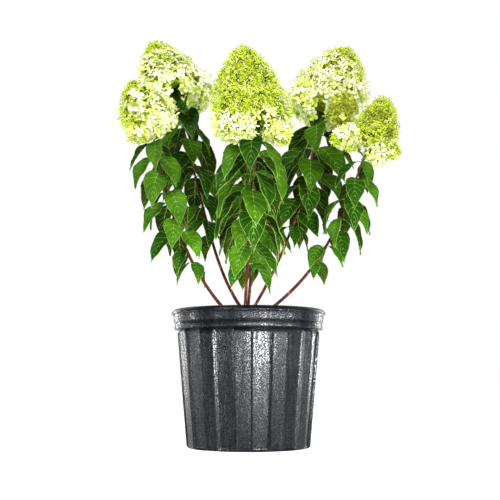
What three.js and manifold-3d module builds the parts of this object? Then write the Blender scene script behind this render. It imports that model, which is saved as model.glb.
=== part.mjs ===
import * as THREE from "three";
import { mergeVertices } from "three/addons/utils/BufferGeometryUtils.js";
import Module from "manifold-3d";

const wasm = await Module();
wasm.setup();

// A panicle hydrangea in its nursery pot. Sizes are in millimetres and angles in degrees.
// The origin is the middle of the pot's underside, +Z is up, and the plant faces -Y.

// Clearance between pieces that meet, and the distance under which two corners are one
const GAP = 0.3;
const WELD = 1e-4;

// Pot: twelve flutes under a rim of two bands and a sloping lip, and drain holes in the floor
const FLUTES = 12;
const FLUTE_DEPTH = 5;
const FLUTE_TURN = -4.4;
const FLUTE_CORNERS = [-5.9, 5.9, 8.7, 21.3];
const POT_HEIGHT = 244.3;
const BASE_RADIUS = 110.5;
const BODY_TOP_RADIUS = 129.2;
const BODY_TOP = 205;
const LIP_RADIUS = 139.8;
const WALL = 2;
const FLOOR = 3;
const DRAIN_HOLES = 6;
const DRAIN_RADIUS = 8;
const DRAIN_RING = 82;

// Potting mix, and the woody crown that the stems rise from
const SOIL_EDGE = 210.5;
const SOIL_MIDDLE = 212;
const CROWN_RADIUS = 19;
const CROWN_FOOT = 202;
const CROWN_TOP = 234;
const CROWN_SIDES = 10;
const CROWN_LEVELS = [[0.3, 1], [0.62, 0.94], [0.9, 0.66]];
const CROWN_BASE = 0.8;
const CROWN_KNOBS = [0.09, 0.05];

// Stems: each leans out from its foot, fast at first and then nearly straight, to the tip under its
// flower head. "straight" is the share of the sway that is even, "bend" how early the rest happens.
const FOOT_HEIGHT = 214;
const LIMB_START = 216;
const FOOT_RADIUS = 3.1;
const TOP_RADIUS = 1.8;
const STEM_SIDES = 6;
const STEM_STEP = 34;
const LIMB_SIDE = [1, 0.3, 0];
const STEMS = {
  middle: {
    foot: [-8, -9], tip: [10, -88, 538], straight: 1, bend: 1, bare_to: 306,
    nodes: [322, 352, 395, 415, 446, 477, 505, 531],
    phase: 343, twist: 14, leaf: 102, seed: 6347,
  },
  outer_left: {
    foot: [-14, -3], tip: [-174, -50, 556], straight: 0.52, bend: 3.6, bare_to: 314,
    nodes: [326, 348, 380, 400, 431, 451, 485, 512, 541],
    phase: 161, twist: 75, leaf: 80, seed: 5263,
  },
  outer_right: {
    foot: [-7, -4], tip: [207, -50, 512], straight: 0.53, bend: 3.8, bare_to: 318,
    nodes: [327, 354, 379, 402, 426, 438, 474, 506],
    phase: 263, twist: 75, leaf: 73, seed: 2690,
  },
  inner_left: {
    foot: [15, -2], tip: [-134, 70, 632], straight: 0.7, bend: 6.6, bare_to: 372,
    nodes: [385, 412, 441, 466, 502, 520, 547, 574, 603, 627],
    phase: 223, twist: 61, leaf: 92, seed: 8701,
  },
  inner_right: {
    foot: [-13, 8], tip: [135, 60, 612], straight: 0.49, bend: 2.5, bare_to: 394,
    nodes: [402, 430, 455, 485, 505, 530, 556, 583, 602],
    phase: 270, twist: 45, leaf: 98, seed: 6360,
  },
  rear: {
    foot: [-6, 14], tip: [15, 150, 600], straight: 0.57, bend: 4.8, bare_to: 330,
    nodes: [346, 375, 405, 435, 463, 498, 525, 550, 572],
    phase: 216, twist: 45, leaf: 95, seed: 6164,
  },
};

// Leaves: three at each node, on short stalks, hanging ovate blades folded along the midrib. Their
// length follows their place on the stem, from the first node (0) to the last (1).
const LEAVES_AT_NODE = 3;
const LEAF_GROWTH = [0.6, 1.3, -1.05];
const LEAF_SPAN = [0.9, 1.08];
const LEAF_TRIES = [0, 18, -18, 36, -36];
const LEAF_SPREAD = 12.5;
const STALK_SHARE = 0.154;
const STALK_STEPS = 3;
const STALK_RISE = 40;
const STALK_RADIUS = 1.1;
const BLADE_STEPS = 14;
const BLADE_SECTIONS = [3, 8];
const BLADE_START = 31;
const BLADE_BOW = 0.63;
const BLADE_DROOP = [62, 91];
const BLADE_ROLL = 35;
const BLADE_FACING = 18;
const BLADE_WIDTH = 0.485;
const BLADE_BASE = 0.85;
const BLADE_POINT = 1.5;
const BLADE_FOLD = 0.2;
const BLADE_HALF_THICKNESS = 0.8;
const LEAF_REACH = 3.1;
const SAMPLE_SIDES = [-0.9, -0.45, 0, 0.45, 0.9];
const SAMPLE_STEP = 3;
const RIM_CLEARANCE = 5;

// Flower heads: cones of blossom round a stalk, each from its low end to its tip, the first on the
// stem and any others on side branches. "taper" is how late a cone narrows.
const CONE_SWELL = 0.16;
const CONE_ROUNDNESS = 0.7;
const CONE_LUMPS = [0.07, 0.05];
const CONE_ENDS = [0.08, 0.96];
const CORE_SHARE = 0.9;
const CORE_SIDES = 10;
const CORE_LEVELS = [0.03, 0.14, 0.36, 0.6, 0.82, 0.94];
const CORE_TIP = 0.97;
const TWIG_SIDES = 8;
const TWIG_LEVELS = [0.06, 0.4, 0.8];
const FLORET_RADIUS = 14;
const FLORET_PETALS = 4;
const FLORET_WAIST = 0.5;
const FLORET_DOME = 0.12;
const FLORET_ROOT = 0.5;
const FLORET_SIZES = [0.85, 1.15];
const FLORET_SHARE = 0.6;
const FLORET_PLACES = [0.05, 0.95];
const FLORET_JITTER = 0.03;
const FLORET_RISE = [-0.15, 0.6];
const FLORET_LIFT = 0.95;
const FLORET_TILT = 34;
const GOLDEN_TURN = 137.508;
const FLORET_CLEARANCE = 5;
const STALK_IN_CONE = 0.4;
const NECK = 5;
const BRANCH_RADIUS = 1.4;
const HEADS = {
  middle: [
    { low: [9, -92, 541], tip: [-12, -105, 705], radius: 69, taper: 2.4, florets: 26 },
    { low: [44, -98, 562], tip: [66, -104, 526], radius: 22, taper: 2.4, florets: 5 },
  ],
  outer_left: [
    { low: [-170, -48, 562], tip: [-214, -55, 657], radius: 47.5, taper: 2.6, florets: 15 },
  ],
  outer_right: [
    { low: [226, -54, 540], tip: [247, -60, 626], radius: 38, taper: 2.5, florets: 12 },
    { low: [198, -50, 556], tip: [148, -55, 546], radius: 24, taper: 2.4, florets: 5 },
    { low: [214, -56, 532], tip: [274, -60, 524], radius: 25, taper: 2.4, florets: 5 },
  ],
  inner_left: [
    { low: [-130, 72, 636], tip: [-192, 80, 782], radius: 75, taper: 1.75, florets: 28 },
  ],
  inner_right: [
    { low: [142, 62, 616], tip: [196, 72, 766], radius: 76, taper: 2.2, florets: 26 },
    { low: [176, 14, 648], tip: [170, -12, 592], radius: 24, taper: 2.6, florets: 5 },
  ],
  rear: [
    { low: [15, 150, 612], tip: [-8, 156, 758], radius: 54, taper: 1.9, florets: 20 },
  ],
};

const COLOURS = {
  pot: new THREE.MeshStandardMaterial({ color: 0x24282b, roughness: 0.38, metalness: 0 }),
  soil: new THREE.MeshStandardMaterial({ color: 0x2c1c16, roughness: 0.95, metalness: 0 }),
  bark: new THREE.MeshStandardMaterial({ color: 0x6a2a1a, roughness: 0.7, metalness: 0 }),
  leaf: new THREE.MeshStandardMaterial({ color: 0x2f7a1c, roughness: 0.45, metalness: 0 }),
  blossom: new THREE.MeshStandardMaterial({ color: 0xdcea8a, roughness: 0.6, metalness: 0 }),
};

const vector = (x, y, z) => new THREE.Vector3(x, y, z);
const fromArray = (list) => vector(...list);
const radians = THREE.MathUtils.degToRad;
const blend = THREE.MathUtils.lerp;

// Even numbers in [0, 1) from a whole-number seed
function seeded(seed) {
  let state = seed;
  return () => {
    state = (Math.imul(state, 1664525) + 1013904223) >>> 0;
    return state / 4294967296;
  };
}

// Closed solids
function facesOf(geometry) {
  const bare = geometry.clone();
  for (const name of ["normal", "uv"]) {
    bare.deleteAttribute(name);
  }
  const merged = mergeVertices(bare, WELD);
  const spots = Float32Array.from(merged.attributes.position.array);
  const corners = merged.index.array;
  const faces = [];
  let volume = 0;
  for (let i = 0; i < corners.length; i += 3) {
    const [a, b, c] = corners.slice(i, i + 3);
    if (a === b || b === c || c === a) {
      continue;
    }
    faces.push([a, b, c]);
    const [p, q, r] = [a, b, c].map((k) => vector().fromArray(spots, 3 * k));
    volume += p.dot(q.cross(r));
  }
  return { spots, faces: volume < 0 ? faces.map(([a, b, c]) => [a, c, b]) : faces };
}

function solid(geometry) {
  const { spots, faces } = facesOf(geometry);
  return new wasm.Manifold(
    new wasm.Mesh({ numProp: 3, vertProperties: spots, triVerts: Uint32Array.from(faces.flat()) }),
  );
}

// The largest body of a fused solid, without loose scraps
function largest(body) {
  const parts = body.decompose().sort((a, b) => b.volume() - a.volume());
  return parts[0];
}

function join(geometries) {
  return largest(wasm.Manifold.union(geometries.map(solid)));
}

function geometryOf(body) {
  const mesh = body.getMesh();
  const geometry = new THREE.BufferGeometry();
  geometry.setAttribute("position", new THREE.BufferAttribute(Float32Array.from(mesh.vertProperties), 3));
  geometry.setIndex(new THREE.BufferAttribute(Uint32Array.from(mesh.triVerts), 1));
  geometry.computeVertexNormals();
  return geometry;
}

// A skin over rings of corners. An end ring is one point, or a flat cap of its corners.
function skin(rings) {
  const starts = [];
  const positions = [];
  for (const ring of rings) {
    starts.push(positions.length / 3);
    ring.forEach((corner) => positions.push(corner.x, corner.y, corner.z));
  }
  const index = [];
  const cap = (ring, start, order) => {
    for (let i = 1; i < ring.length - 1; i += 1) {
      index.push(start, start + i + order, start + i + 1 - order);
    }
  };
  for (let k = 0; k + 1 < rings.length; k += 1) {
    const sides = Math.max(rings[k].length, rings[k + 1].length);
    const corner = (ring, i) => starts[ring] + (i % rings[ring].length);
    for (let i = 0; i < sides; i += 1) {
      if (rings[k].length > 1) {
        index.push(corner(k, i), corner(k, i + 1), corner(k + 1, i));
      }
      if (rings[k + 1].length > 1) {
        index.push(corner(k, i + 1), corner(k + 1, i + 1), corner(k + 1, i));
      }
    }
  }
  cap(rings[0], starts[0], 1);
  cap(rings.at(-1), starts.at(-1), 0);
  const geometry = new THREE.BufferGeometry();
  geometry.setAttribute("position", new THREE.Float32BufferAttribute(positions, 3));
  geometry.setIndex(index);
  return geometry;
}

// A tapering round limb through a row of points, with flat ends square to its way
function limb(points, radii, sides) {
  const side = fromArray(LIMB_SIDE);
  const rings = points.map((point, k) => {
    const before = points[Math.max(k - 1, 0)];
    const after = points[Math.min(k + 1, points.length - 1)];
    const along = after.clone().sub(before).normalize();
    const across = side.clone().addScaledVector(along, -side.dot(along)).normalize();
    const over = along.clone().cross(across);
    return Array.from({ length: sides }, (_, i) => {
      const turn = (2 * Math.PI * i) / sides;
      return point.clone()
        .addScaledVector(across, radii[k] * Math.cos(turn))
        .addScaledVector(over, radii[k] * Math.sin(turn));
    });
  });
  return skin(rings);
}

// A turned solid: its profile gives radius and height. Height maps to +Z, and turn 0 faces -Y.
function turned(profile, sides) {
  const points = profile.map(([radius, height]) => new THREE.Vector2(radius, height));
  return new THREE.LatheGeometry(points, sides).rotateX(Math.PI / 2);
}

// Moves a turned solid's corners to the flutes' four corners a pitch, and draws the skin in between
// ribs where "depth" says so
function fluted(geometry, depth) {
  const spots = geometry.attributes.position;
  const corners = FLUTE_CORNERS.length;
  const pitch = 360 / FLUTES;
  for (let i = 0; i < spots.count; i += 1) {
    const spot = vector().fromBufferAttribute(spots, i);
    const radius = Math.hypot(spot.x, spot.y);
    const turn = THREE.MathUtils.radToDeg(Math.atan2(spot.x, -spot.y)) + 360;
    const corner = Math.round(turn / (pitch / corners));
    const place = FLUTE_CORNERS[corner % corners] + pitch * Math.floor(corner / corners) + FLUTE_TURN;
    const inset = corner % corners > 1 ? depth(radius, spot.z) : 0;
    const reach = radius - inset;
    spots.setXYZ(i, reach * Math.sin(radians(place)), -reach * Math.cos(radians(place)), spot.z);
  }
  return geometry;
}

// Pot
const bodyRadius = (height) => blend(BASE_RADIUS, BODY_TOP_RADIUS, height / BODY_TOP);
const innerRadius = (height) => bodyRadius(height) - FLUTE_DEPTH - WALL;
const rimWall = LIP_RADIUS - 10;

function potProfile() {
  return [
    [0, 0],
    [BASE_RADIUS - 3, 0],
    [bodyRadius(2), 2.5],
    [bodyRadius(BODY_TOP - 6), BODY_TOP - 6],
    [bodyRadius(BODY_TOP) - 1.2, BODY_TOP - 1.5],
    [bodyRadius(BODY_TOP) - FLUTE_DEPTH, BODY_TOP + 1.5],
    [LIP_RADIUS - 6.6, 207.6],
    [LIP_RADIUS - 5.7, 209],
    [LIP_RADIUS - 5.7, 217],
    [LIP_RADIUS - 7.4, 218.4],
    [LIP_RADIUS - 7.4, 219.8],
    [LIP_RADIUS - 4.6, 221],
    [LIP_RADIUS - 3.8, 234],
    [LIP_RADIUS - 0.6, 235],
    [LIP_RADIUS, 237.4],
    [LIP_RADIUS - 2.4, 241.2],
    [LIP_RADIUS - 7.4, POT_HEIGHT],
    [rimWall - 0.6, POT_HEIGHT - 0.8],
    [rimWall, POT_HEIGHT - 6],
    [rimWall, SOIL_EDGE - 0.5],
    [innerRadius(BODY_TOP), BODY_TOP + 1],
    [innerRadius(FLOOR), FLOOR + 2],
    [innerRadius(FLOOR) - 2, FLOOR],
    [0, FLOOR],
  ];
}

function pot() {
  const fluteDepth = (radius, height) => {
    const outside = height > 1 && height < BODY_TOP && radius > bodyRadius(height) - FLUTE_DEPTH;
    return outside ? FLUTE_DEPTH : 0;
  };
  const shell = solid(fluted(turned(potProfile(), 4 * FLUTES), fluteDepth));
  const holes = Array.from({ length: DRAIN_HOLES }, (_, i) => {
    const turn = (2 * Math.PI * (i + 0.5)) / DRAIN_HOLES;
    const hole = new THREE.CylinderGeometry(DRAIN_RADIUS, DRAIN_RADIUS, 3 * FLOOR, 8).rotateX(Math.PI / 2);
    return solid(hole.translate(DRAIN_RING * Math.sin(turn), -DRAIN_RING * Math.cos(turn), FLOOR));
  });
  return shell.subtract(wasm.Manifold.union(holes));
}

// Crown: a knobbly stub sunk in the soil, grown on all sides by "extra" to cut its own socket
function crown(extra) {
  const profile = [
    [0, CROWN_FOOT - extra],
    [CROWN_RADIUS * CROWN_BASE + extra, CROWN_FOOT - extra],
    ...CROWN_LEVELS.map(([level, width]) => (
      [CROWN_RADIUS * width + extra, blend(CROWN_FOOT, CROWN_TOP, level)])),
    [0, CROWN_TOP + extra],
  ];
  const geometry = turned(profile, CROWN_SIDES);
  const spots = geometry.attributes.position;
  for (let i = 0; i < spots.count; i += 1) {
    const turn = Math.atan2(spots.getX(i), -spots.getY(i));
    const knob = 1 + CROWN_KNOBS[0] * Math.sin(3 * turn + 1) + CROWN_KNOBS[1] * Math.sin(5 * turn);
    spots.setXYZ(i, spots.getX(i) * knob, spots.getY(i) * knob, spots.getZ(i));
  }
  return solid(geometry);
}

function soil() {
  const profile = [
    [0, FLOOR + GAP],
    [innerRadius(FLOOR) - 2.5, FLOOR + GAP],
    [innerRadius(FLOOR) - 0.4, FLOOR + 2.4],
    [innerRadius(BODY_TOP) - 0.4, BODY_TOP + 1],
    [rimWall - 0.6, SOIL_EDGE],
    [rimWall * 0.55, blend(SOIL_EDGE, SOIL_MIDDLE, 0.7)],
    [0, SOIL_MIDDLE],
  ];
  return solid(fluted(turned(profile, 4 * FLUTES), () => 0)).subtract(crown(GAP));
}

// Stems
function stemPoint(stem, height) {
  const rise = Math.min(1, (height - FOOT_HEIGHT) / (stem.tip[2] - FOOT_HEIGHT));
  const sway = stem.straight * rise + (1 - stem.straight) * (1 - (1 - rise) ** stem.bend);
  return vector(
    blend(stem.foot[0], stem.tip[0], sway),
    blend(stem.foot[1], stem.tip[1], sway),
    height,
  );
}

function stemRadius(stem, height) {
  return blend(FOOT_RADIUS, TOP_RADIUS, (height - FOOT_HEIGHT) / (stem.tip[2] - FOOT_HEIGHT));
}

function stemLimb(stem, from, to) {
  const steps = Math.max(2, Math.round((to - from) / STEM_STEP));
  const heights = Array.from({ length: steps + 1 }, (_, k) => blend(from, to, k / steps));
  const points = heights.map((height) => stemPoint(stem, height));
  return limb(points, heights.map((height) => stemRadius(stem, height)), STEM_SIDES);
}

// Flower heads: the radius of a cone of blossom, at a share of its length and a turn about its axis
function coneRadius(cone, share, turn) {
  if (share <= 0 || share >= 1) {
    return 0;
  }
  const narrowing = (1 - share ** cone.taper) ** CONE_ROUNDNESS;
  const start = Math.min(1, share / CONE_SWELL);
  const swell = Math.sqrt(1 - (1 - start) ** 2);
  const lumps = CONE_LUMPS[0] * Math.sin(5 * turn + 7 * share + cone.tip[0])
    + CONE_LUMPS[1] * Math.sin(8 * turn - 12 * share + cone.tip[2]);
  return cone.radius * narrowing * swell * (1 + lumps);
}

function coneFrame(cone) {
  const low = fromArray(cone.low);
  const along = fromArray(cone.tip).sub(low);
  const length = along.length();
  along.divideScalar(length);
  const across = vector(1, 0, 0).addScaledVector(along, -along.x).normalize();
  return { low, along, length, across, over: along.clone().cross(across) };
}

function conePoint(cone, frame, share, turn, scale) {
  const radius = scale * coneRadius(cone, share, turn);
  return frame.low.clone()
    .addScaledVector(frame.along, share * frame.length)
    .addScaledVector(frame.across, radius * Math.cos(turn))
    .addScaledVector(frame.over, radius * Math.sin(turn));
}

function inCone(cone, frame, point, margin) {
  const arm = point.clone().sub(frame.low);
  const height = arm.dot(frame.along);
  if (height < -margin || height > frame.length + margin) {
    return false;
  }
  const turn = Math.atan2(arm.dot(frame.over), arm.dot(frame.across));
  const share = THREE.MathUtils.clamp(height / frame.length, ...CONE_ENDS);
  const distance = Math.sqrt(Math.max(0, arm.lengthSq() - height * height));
  return distance < coneRadius(cone, share, turn) + margin;
}

function core(cone, frame) {
  const isSmall = cone.radius < 2 * FLORET_RADIUS;
  const sides = isSmall ? TWIG_SIDES : CORE_SIDES;
  const rings = (isSmall ? TWIG_LEVELS : CORE_LEVELS).map((share) => (
    Array.from({ length: sides }, (_, i) => (
      conePoint(cone, frame, share, (2 * Math.PI * i) / sides, CORE_SHARE)))));
  const end = frame.low.clone().addScaledVector(frame.along, CORE_TIP * frame.length);
  return skin([[frame.low], ...rings, [end]]);
}

// A four-petalled floret facing out of its cone, tilted a little so that its petals stand proud
function floret(centre, facing, spin, radius) {
  const side = vector(0, 0, 1).cross(facing).normalize();
  const up = facing.clone().cross(side);
  const corners = Array.from({ length: 2 * FLORET_PETALS }, (_, i) => {
    const turn = spin + (Math.PI * i) / FLORET_PETALS;
    const reach = i % 2 ? FLORET_WAIST * radius : radius;
    return centre.clone()
      .addScaledVector(side, reach * Math.cos(turn))
      .addScaledVector(up, reach * Math.sin(turn));
  });
  const front = centre.clone().addScaledVector(facing, FLORET_DOME * radius);
  const back = centre.clone().addScaledVector(facing, -FLORET_ROOT * radius);
  return skin([[front], corners, [back]]);
}

// Florets are dealt out in a spiral over the cone, and one that would touch a leaf is left out
function florets(cone, frame, seed, leaves) {
  const random = seeded(seed);
  return Array.from({ length: cone.florets }, (_, i) => {
    const share = 1 - Math.sqrt((i + 0.5) / cone.florets);
    const turn = radians(i * GOLDEN_TURN);
    const place = blend(...FLORET_PLACES, share) + FLORET_JITTER * (random() - 0.5);
    const centre = conePoint(cone, frame, place, turn, FLORET_LIFT);
    const axis = frame.low.clone().addScaledVector(frame.along, place * frame.length);
    const facing = centre.clone().sub(axis).normalize()
      .addScaledVector(frame.along, blend(...FLORET_RISE, place))
      .normalize();
    const lean = vector(random() - 0.5, random() - 0.5, random() - 0.5).normalize();
    facing.addScaledVector(lean, Math.tan(radians(FLORET_TILT))).normalize();
    const radius = Math.min(FLORET_RADIUS, FLORET_SHARE * cone.radius) * blend(...FLORET_SIZES, random());
    const spin = radians(90 * random());
    const isClear = leaves.every((spot) => spot.distanceTo(centre) > radius + FLORET_CLEARANCE);
    return isClear ? floret(centre, facing, spin, radius) : null;
  }).filter(Boolean);
}

// The branch of a cone: up out of the stem's tip, and then straight to the cone's middle
function branchPath(stem, cone) {
  const frame = coneFrame(cone);
  const foot = stemPoint(stem, stem.tip[2]);
  const lead = foot.clone().sub(stemPoint(stem, stem.tip[2] - NECK)).normalize();
  return [
    foot.clone().addScaledVector(lead, GAP),
    foot.clone().addScaledVector(lead, NECK),
    frame.low.clone().addScaledVector(frame.along, STALK_IN_CONE * frame.length),
  ];
}

function panicle(name, seed, leaves) {
  const pieces = HEADS[name].flatMap((cone, k) => {
    const frame = coneFrame(cone);
    const radii = [TOP_RADIUS, TOP_RADIUS, BRANCH_RADIUS];
    const branch = limb(branchPath(STEMS[name], cone), radii, STEM_SIDES);
    return [branch, core(cone, frame), ...florets(cone, frame, seed + k, leaves)];
  });
  return join(pieces);
}

// Leaves
const headFrames = Object.values(HEADS).flat().map((cone) => ({ cone, frame: coneFrame(cone) }));

function bladeHalfWidth(share, length) {
  const outline = (place) => place ** BLADE_BASE * (1 - place) ** BLADE_POINT;
  const widest = BLADE_BASE / (BLADE_BASE + BLADE_POINT);
  return (0.5 * BLADE_WIDTH * length * outline(share)) / outline(widest);
}

// The stations of a leaf: its stalk rises and levels out, then its blade bows down to the tip. Leaves
// at the sides turn their upper faces towards the front.
function leafStations(root, leaf, turn) {
  const azimuth = radians(leaf.azimuth + turn);
  const heading = vector(Math.cos(azimuth), Math.sin(azimuth), 0);
  const side = vector(-Math.sin(azimuth), Math.cos(azimuth), 0);
  const roll = radians(leaf.roll + BLADE_FACING * Math.cos(azimuth));
  const stalk = STALK_SHARE * leaf.length;
  const stations = [];
  let point = root.clone();
  for (let k = 0; k <= STALK_STEPS + BLADE_STEPS; k += 1) {
    const share = (k - STALK_STEPS) / BLADE_STEPS;
    const slope = share < 0
      ? blend(STALK_RISE, -BLADE_START, k / STALK_STEPS)
      : -blend(BLADE_START, leaf.droop, share ** BLADE_BOW);
    const along = heading.clone().multiplyScalar(Math.cos(radians(slope)));
    along.z = Math.sin(radians(slope));
    const over = along.clone().cross(side);
    const across = side.clone().multiplyScalar(Math.cos(roll)).addScaledVector(over, Math.sin(roll));
    const half = share <= 0 ? 0 : bladeHalfWidth(share, leaf.length);
    stations.push({ point: point.clone(), across, over: along.clone().cross(across), half });
    point.addScaledVector(along, share < 0 ? stalk / STALK_STEPS : leaf.length / BLADE_STEPS);
  }
  return stations;
}

// Where a leaf is felt by its neighbours: five points across the blade at each station
function leafSamples(stations) {
  return stations.slice(STALK_STEPS).flatMap(({ point, across, over, half }) => (
    SAMPLE_SIDES.map((share) => point.clone()
      .addScaledVector(across, share * half)
      .addScaledVector(over, BLADE_FOLD * Math.abs(share) * half))));
}

function isFree(samples, taken) {
  return samples.every((sample) => {
    if (sample.z < POT_HEIGHT + RIM_CLEARANCE) {
      return false;
    }
    if (headFrames.some(({ cone, frame }) => inCone(cone, frame, sample, LEAF_REACH))) {
      return false;
    }
    return taken.every(({ spot, reach }) => sample.distanceToSquared(spot) > (reach + LEAF_REACH) ** 2);
  });
}

function stemSamples(stem) {
  const count = Math.ceil((stem.tip[2] - FOOT_HEIGHT) / SAMPLE_STEP);
  return Array.from({ length: count }, (_, k) => {
    const height = FOOT_HEIGHT + SAMPLE_STEP * k;
    return { spot: stemPoint(stem, height), reach: stemRadius(stem, height) };
  });
}

function branchSamples(stem, cone) {
  const [, neck, inside] = branchPath(stem, cone);
  const count = Math.ceil(neck.distanceTo(inside) / SAMPLE_STEP);
  return Array.from({ length: count }, (_, k) => (
    { spot: neck.clone().lerp(inside, k / count), reach: TOP_RADIUS }));
}

// The leaves of every stem, in turn: one that would touch a limb, a flower head or another leaf is
// turned a little, and left out if no turn clears it
function growLeaves() {
  const taken = Object.entries(STEMS).flatMap(([name, stem]) => [
    ...stemSamples(stem),
    ...HEADS[name].flatMap((cone) => branchSamples(stem, cone)),
  ]);
  const grown = {};
  Object.entries(STEMS).forEach(([name, stem]) => {
    const random = seeded(stem.seed);
    grown[name] = [];
    stem.nodes.forEach((height, node) => {
      const rank = node / (stem.nodes.length - 1);
      const growth = LEAF_GROWTH[0] + LEAF_GROWTH[1] * rank + LEAF_GROWTH[2] * rank * rank;
      for (let k = 0; k < LEAVES_AT_NODE; k += 1) {
        const leaf = {
          azimuth: stem.phase + node * stem.twist + (360 * k) / LEAVES_AT_NODE
            + LEAF_SPREAD * (2 * random() - 1),
          length: stem.leaf * growth * blend(...LEAF_SPAN, random()),
          droop: blend(...BLADE_DROOP, random()),
          roll: BLADE_ROLL * (2 * random() - 1),
        };
        const root = stemPoint(stem, height);
        const fit = LEAF_TRIES.map((turn) => leafStations(root, leaf, turn))
          .find((stations) => isFree(leafSamples(stations), taken));
        if (fit) {
          grown[name].push(fit);
          leafSamples(fit).forEach((spot) => taken.push({ spot, reach: LEAF_REACH }));
        }
      }
    });
  });
  return grown;
}

// One skin of four-cornered rings: a diamond along the stalk, then a thin folded blade to the tip
function leafSkin(stations) {
  const ring = ({ point, across, over, half }, edgeRise, thickness) => {
    const edge = (side) => point.clone().addScaledVector(across, side * half).addScaledVector(over, edgeRise);
    const middle = (side) => point.clone().addScaledVector(over, side * thickness);
    return [edge(-1), middle(1), edge(1), middle(-1)];
  };
  const stalk = [0, STALK_STEPS].map((k) => ring({ ...stations[k], half: STALK_RADIUS }, 0, STALK_RADIUS));
  const blade = BLADE_SECTIONS.map((k) => {
    const station = stations[STALK_STEPS + k];
    return ring(station, BLADE_FOLD * station.half, BLADE_HALF_THICKNESS);
  });
  return skin([...stalk, ...blade, [stations.at(-1).point]]);
}

function foliage(name, leaves) {
  const stem = STEMS[name];
  return join([stemLimb(stem, stem.bare_to + GAP, stem.tip[2]), ...leaves.map(leafSkin)]);
}

// Assembly
function named(name, body, material) {
  const mesh = new THREE.Mesh(geometryOf(body), material.clone());
  mesh.name = name;
  return mesh;
}

function build() {
  const plant = new THREE.Group();
  plant.add(named("pot", pot(), COLOURS.pot));
  plant.add(named("soil", soil(), COLOURS.soil));
  plant.add(named("crown", crown(0), COLOURS.bark));
  const leaves = growLeaves();
  const leafSpots = Object.values(leaves).flat().flatMap(leafSamples);
  Object.entries(STEMS).forEach(([name, stem], place) => {
    const bare = solid(stemLimb(stem, LIMB_START, stem.bare_to)).subtract(crown(GAP));
    plant.add(named(`stem_${name}`, largest(bare), COLOURS.bark));
    plant.add(named(`foliage_${name}`, foliage(name, leaves[name]), COLOURS.leaf));
    plant.add(named(`panicle_${name}`, panicle(name, 7 + 10 * place, leafSpots), COLOURS.blossom));
  });
  return plant;
}

export default build();
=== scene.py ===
"""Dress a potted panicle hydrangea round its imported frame: pot, potting mix, bark, leaves and blossom.

The rule that grows stems, leaves and flower heads works in millimetres, and meshes are made in metres.
"""

import logging
import math
from dataclasses import dataclass
from enum import Enum
from functools import lru_cache
from typing import Iterable, Sequence

import bpy
import numpy as np
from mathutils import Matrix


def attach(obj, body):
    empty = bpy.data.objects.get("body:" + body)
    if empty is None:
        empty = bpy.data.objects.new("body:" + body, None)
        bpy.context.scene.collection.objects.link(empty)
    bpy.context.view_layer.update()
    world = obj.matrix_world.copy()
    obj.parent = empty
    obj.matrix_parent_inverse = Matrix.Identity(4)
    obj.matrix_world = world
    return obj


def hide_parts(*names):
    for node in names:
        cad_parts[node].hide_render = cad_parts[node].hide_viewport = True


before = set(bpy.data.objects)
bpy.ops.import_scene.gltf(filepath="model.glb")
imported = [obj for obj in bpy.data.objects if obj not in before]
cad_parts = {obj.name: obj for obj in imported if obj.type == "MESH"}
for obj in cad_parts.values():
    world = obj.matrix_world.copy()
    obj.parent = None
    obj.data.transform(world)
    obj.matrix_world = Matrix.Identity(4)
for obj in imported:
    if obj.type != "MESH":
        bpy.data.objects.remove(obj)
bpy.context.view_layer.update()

MM = 0.001
BODY = "root"
LOG = logging.getLogger("hydrangea")
Array = np.ndarray
Colour = tuple[float, float, float]


# Numbers


class Draws:
    """Even numbers in [0, 1) from a whole-number seed."""

    FACTOR = 1664525
    STEP = 1013904223
    MODULUS = 2**32

    def __init__(self, seed: int) -> None:
        """Start the row of numbers at its seed."""
        self.state = seed

    def next(self) -> float:
        """Return the next number in [0, 1)."""
        self.state = (self.state * self.FACTOR + self.STEP) % self.MODULUS
        return self.state / self.MODULUS

    def between(self, low: float, high: float) -> float:
        """Return the next number, spread from low to high."""
        return low + (high - low) * self.next()

    def direction(self) -> Array:
        """Return a direction in space."""
        arrow = np.array([self.next() - 0.5 for _ in range(3)])
        return arrow / np.linalg.norm(arrow)


def unit(arrow: Array) -> Array:
    """Return arrows at length 1 along their last axis."""
    return arrow / np.linalg.norm(arrow, axis=-1, keepdims=True)


def smoothstep(low: float, high: float, value: Array) -> Array:
    """Return 0 below low and 1 above high, with a soft step between."""
    share = np.clip((value - low) / (high - low), 0, 1)
    return share * share * (3 - 2 * share)


def flowing(values: Array, places: Array) -> Array:
    """Read a row of points at places from 0 to 1 along it, on a smooth curve through them.

    Args:
        values: Points in equal steps, one to a row.
        places: Shares of the way from the first point to the last.

    Returns:
        One point for each place.
    """
    steps = len(values) - 1
    slopes = np.gradient(values, axis=0)
    first = np.minimum((places * steps).astype(int), steps - 1)
    share = (places * steps - first).reshape(-1, *[1] * (values.ndim - 1))
    start, end = values[first], values[first + 1]
    curve_in, curve_out = slopes[first], slopes[first + 1]
    rise = share * share * (3 - 2 * share)
    bend = share * (1 - share)
    return start + (end - start) * rise + bend * ((1 - share) * curve_in - share * curve_out)


# Shader maths


class Wire:
    """A node's output, on which shader maths is written as plain arithmetic."""

    def __init__(self, nodes: "Nodes", socket: bpy.types.NodeSocket) -> None:
        """Hold an output socket of a tree of nodes."""
        self.nodes = nodes
        self.socket = socket

    def _maths(self, operation: str, other: object) -> "Wire":
        """Add a Math node on this wire and a value or another wire."""
        return self.nodes.wire("ShaderNodeMath", {"operation": operation}, {0: self, 1: other})

    def __add__(self, other: object) -> "Wire":
        """Add."""
        return self._maths("ADD", other)

    def __mul__(self, other: object) -> "Wire":
        """Multiply."""
        return self._maths("MULTIPLY", other)

    __radd__ = __add__
    __rmul__ = __mul__


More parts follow.
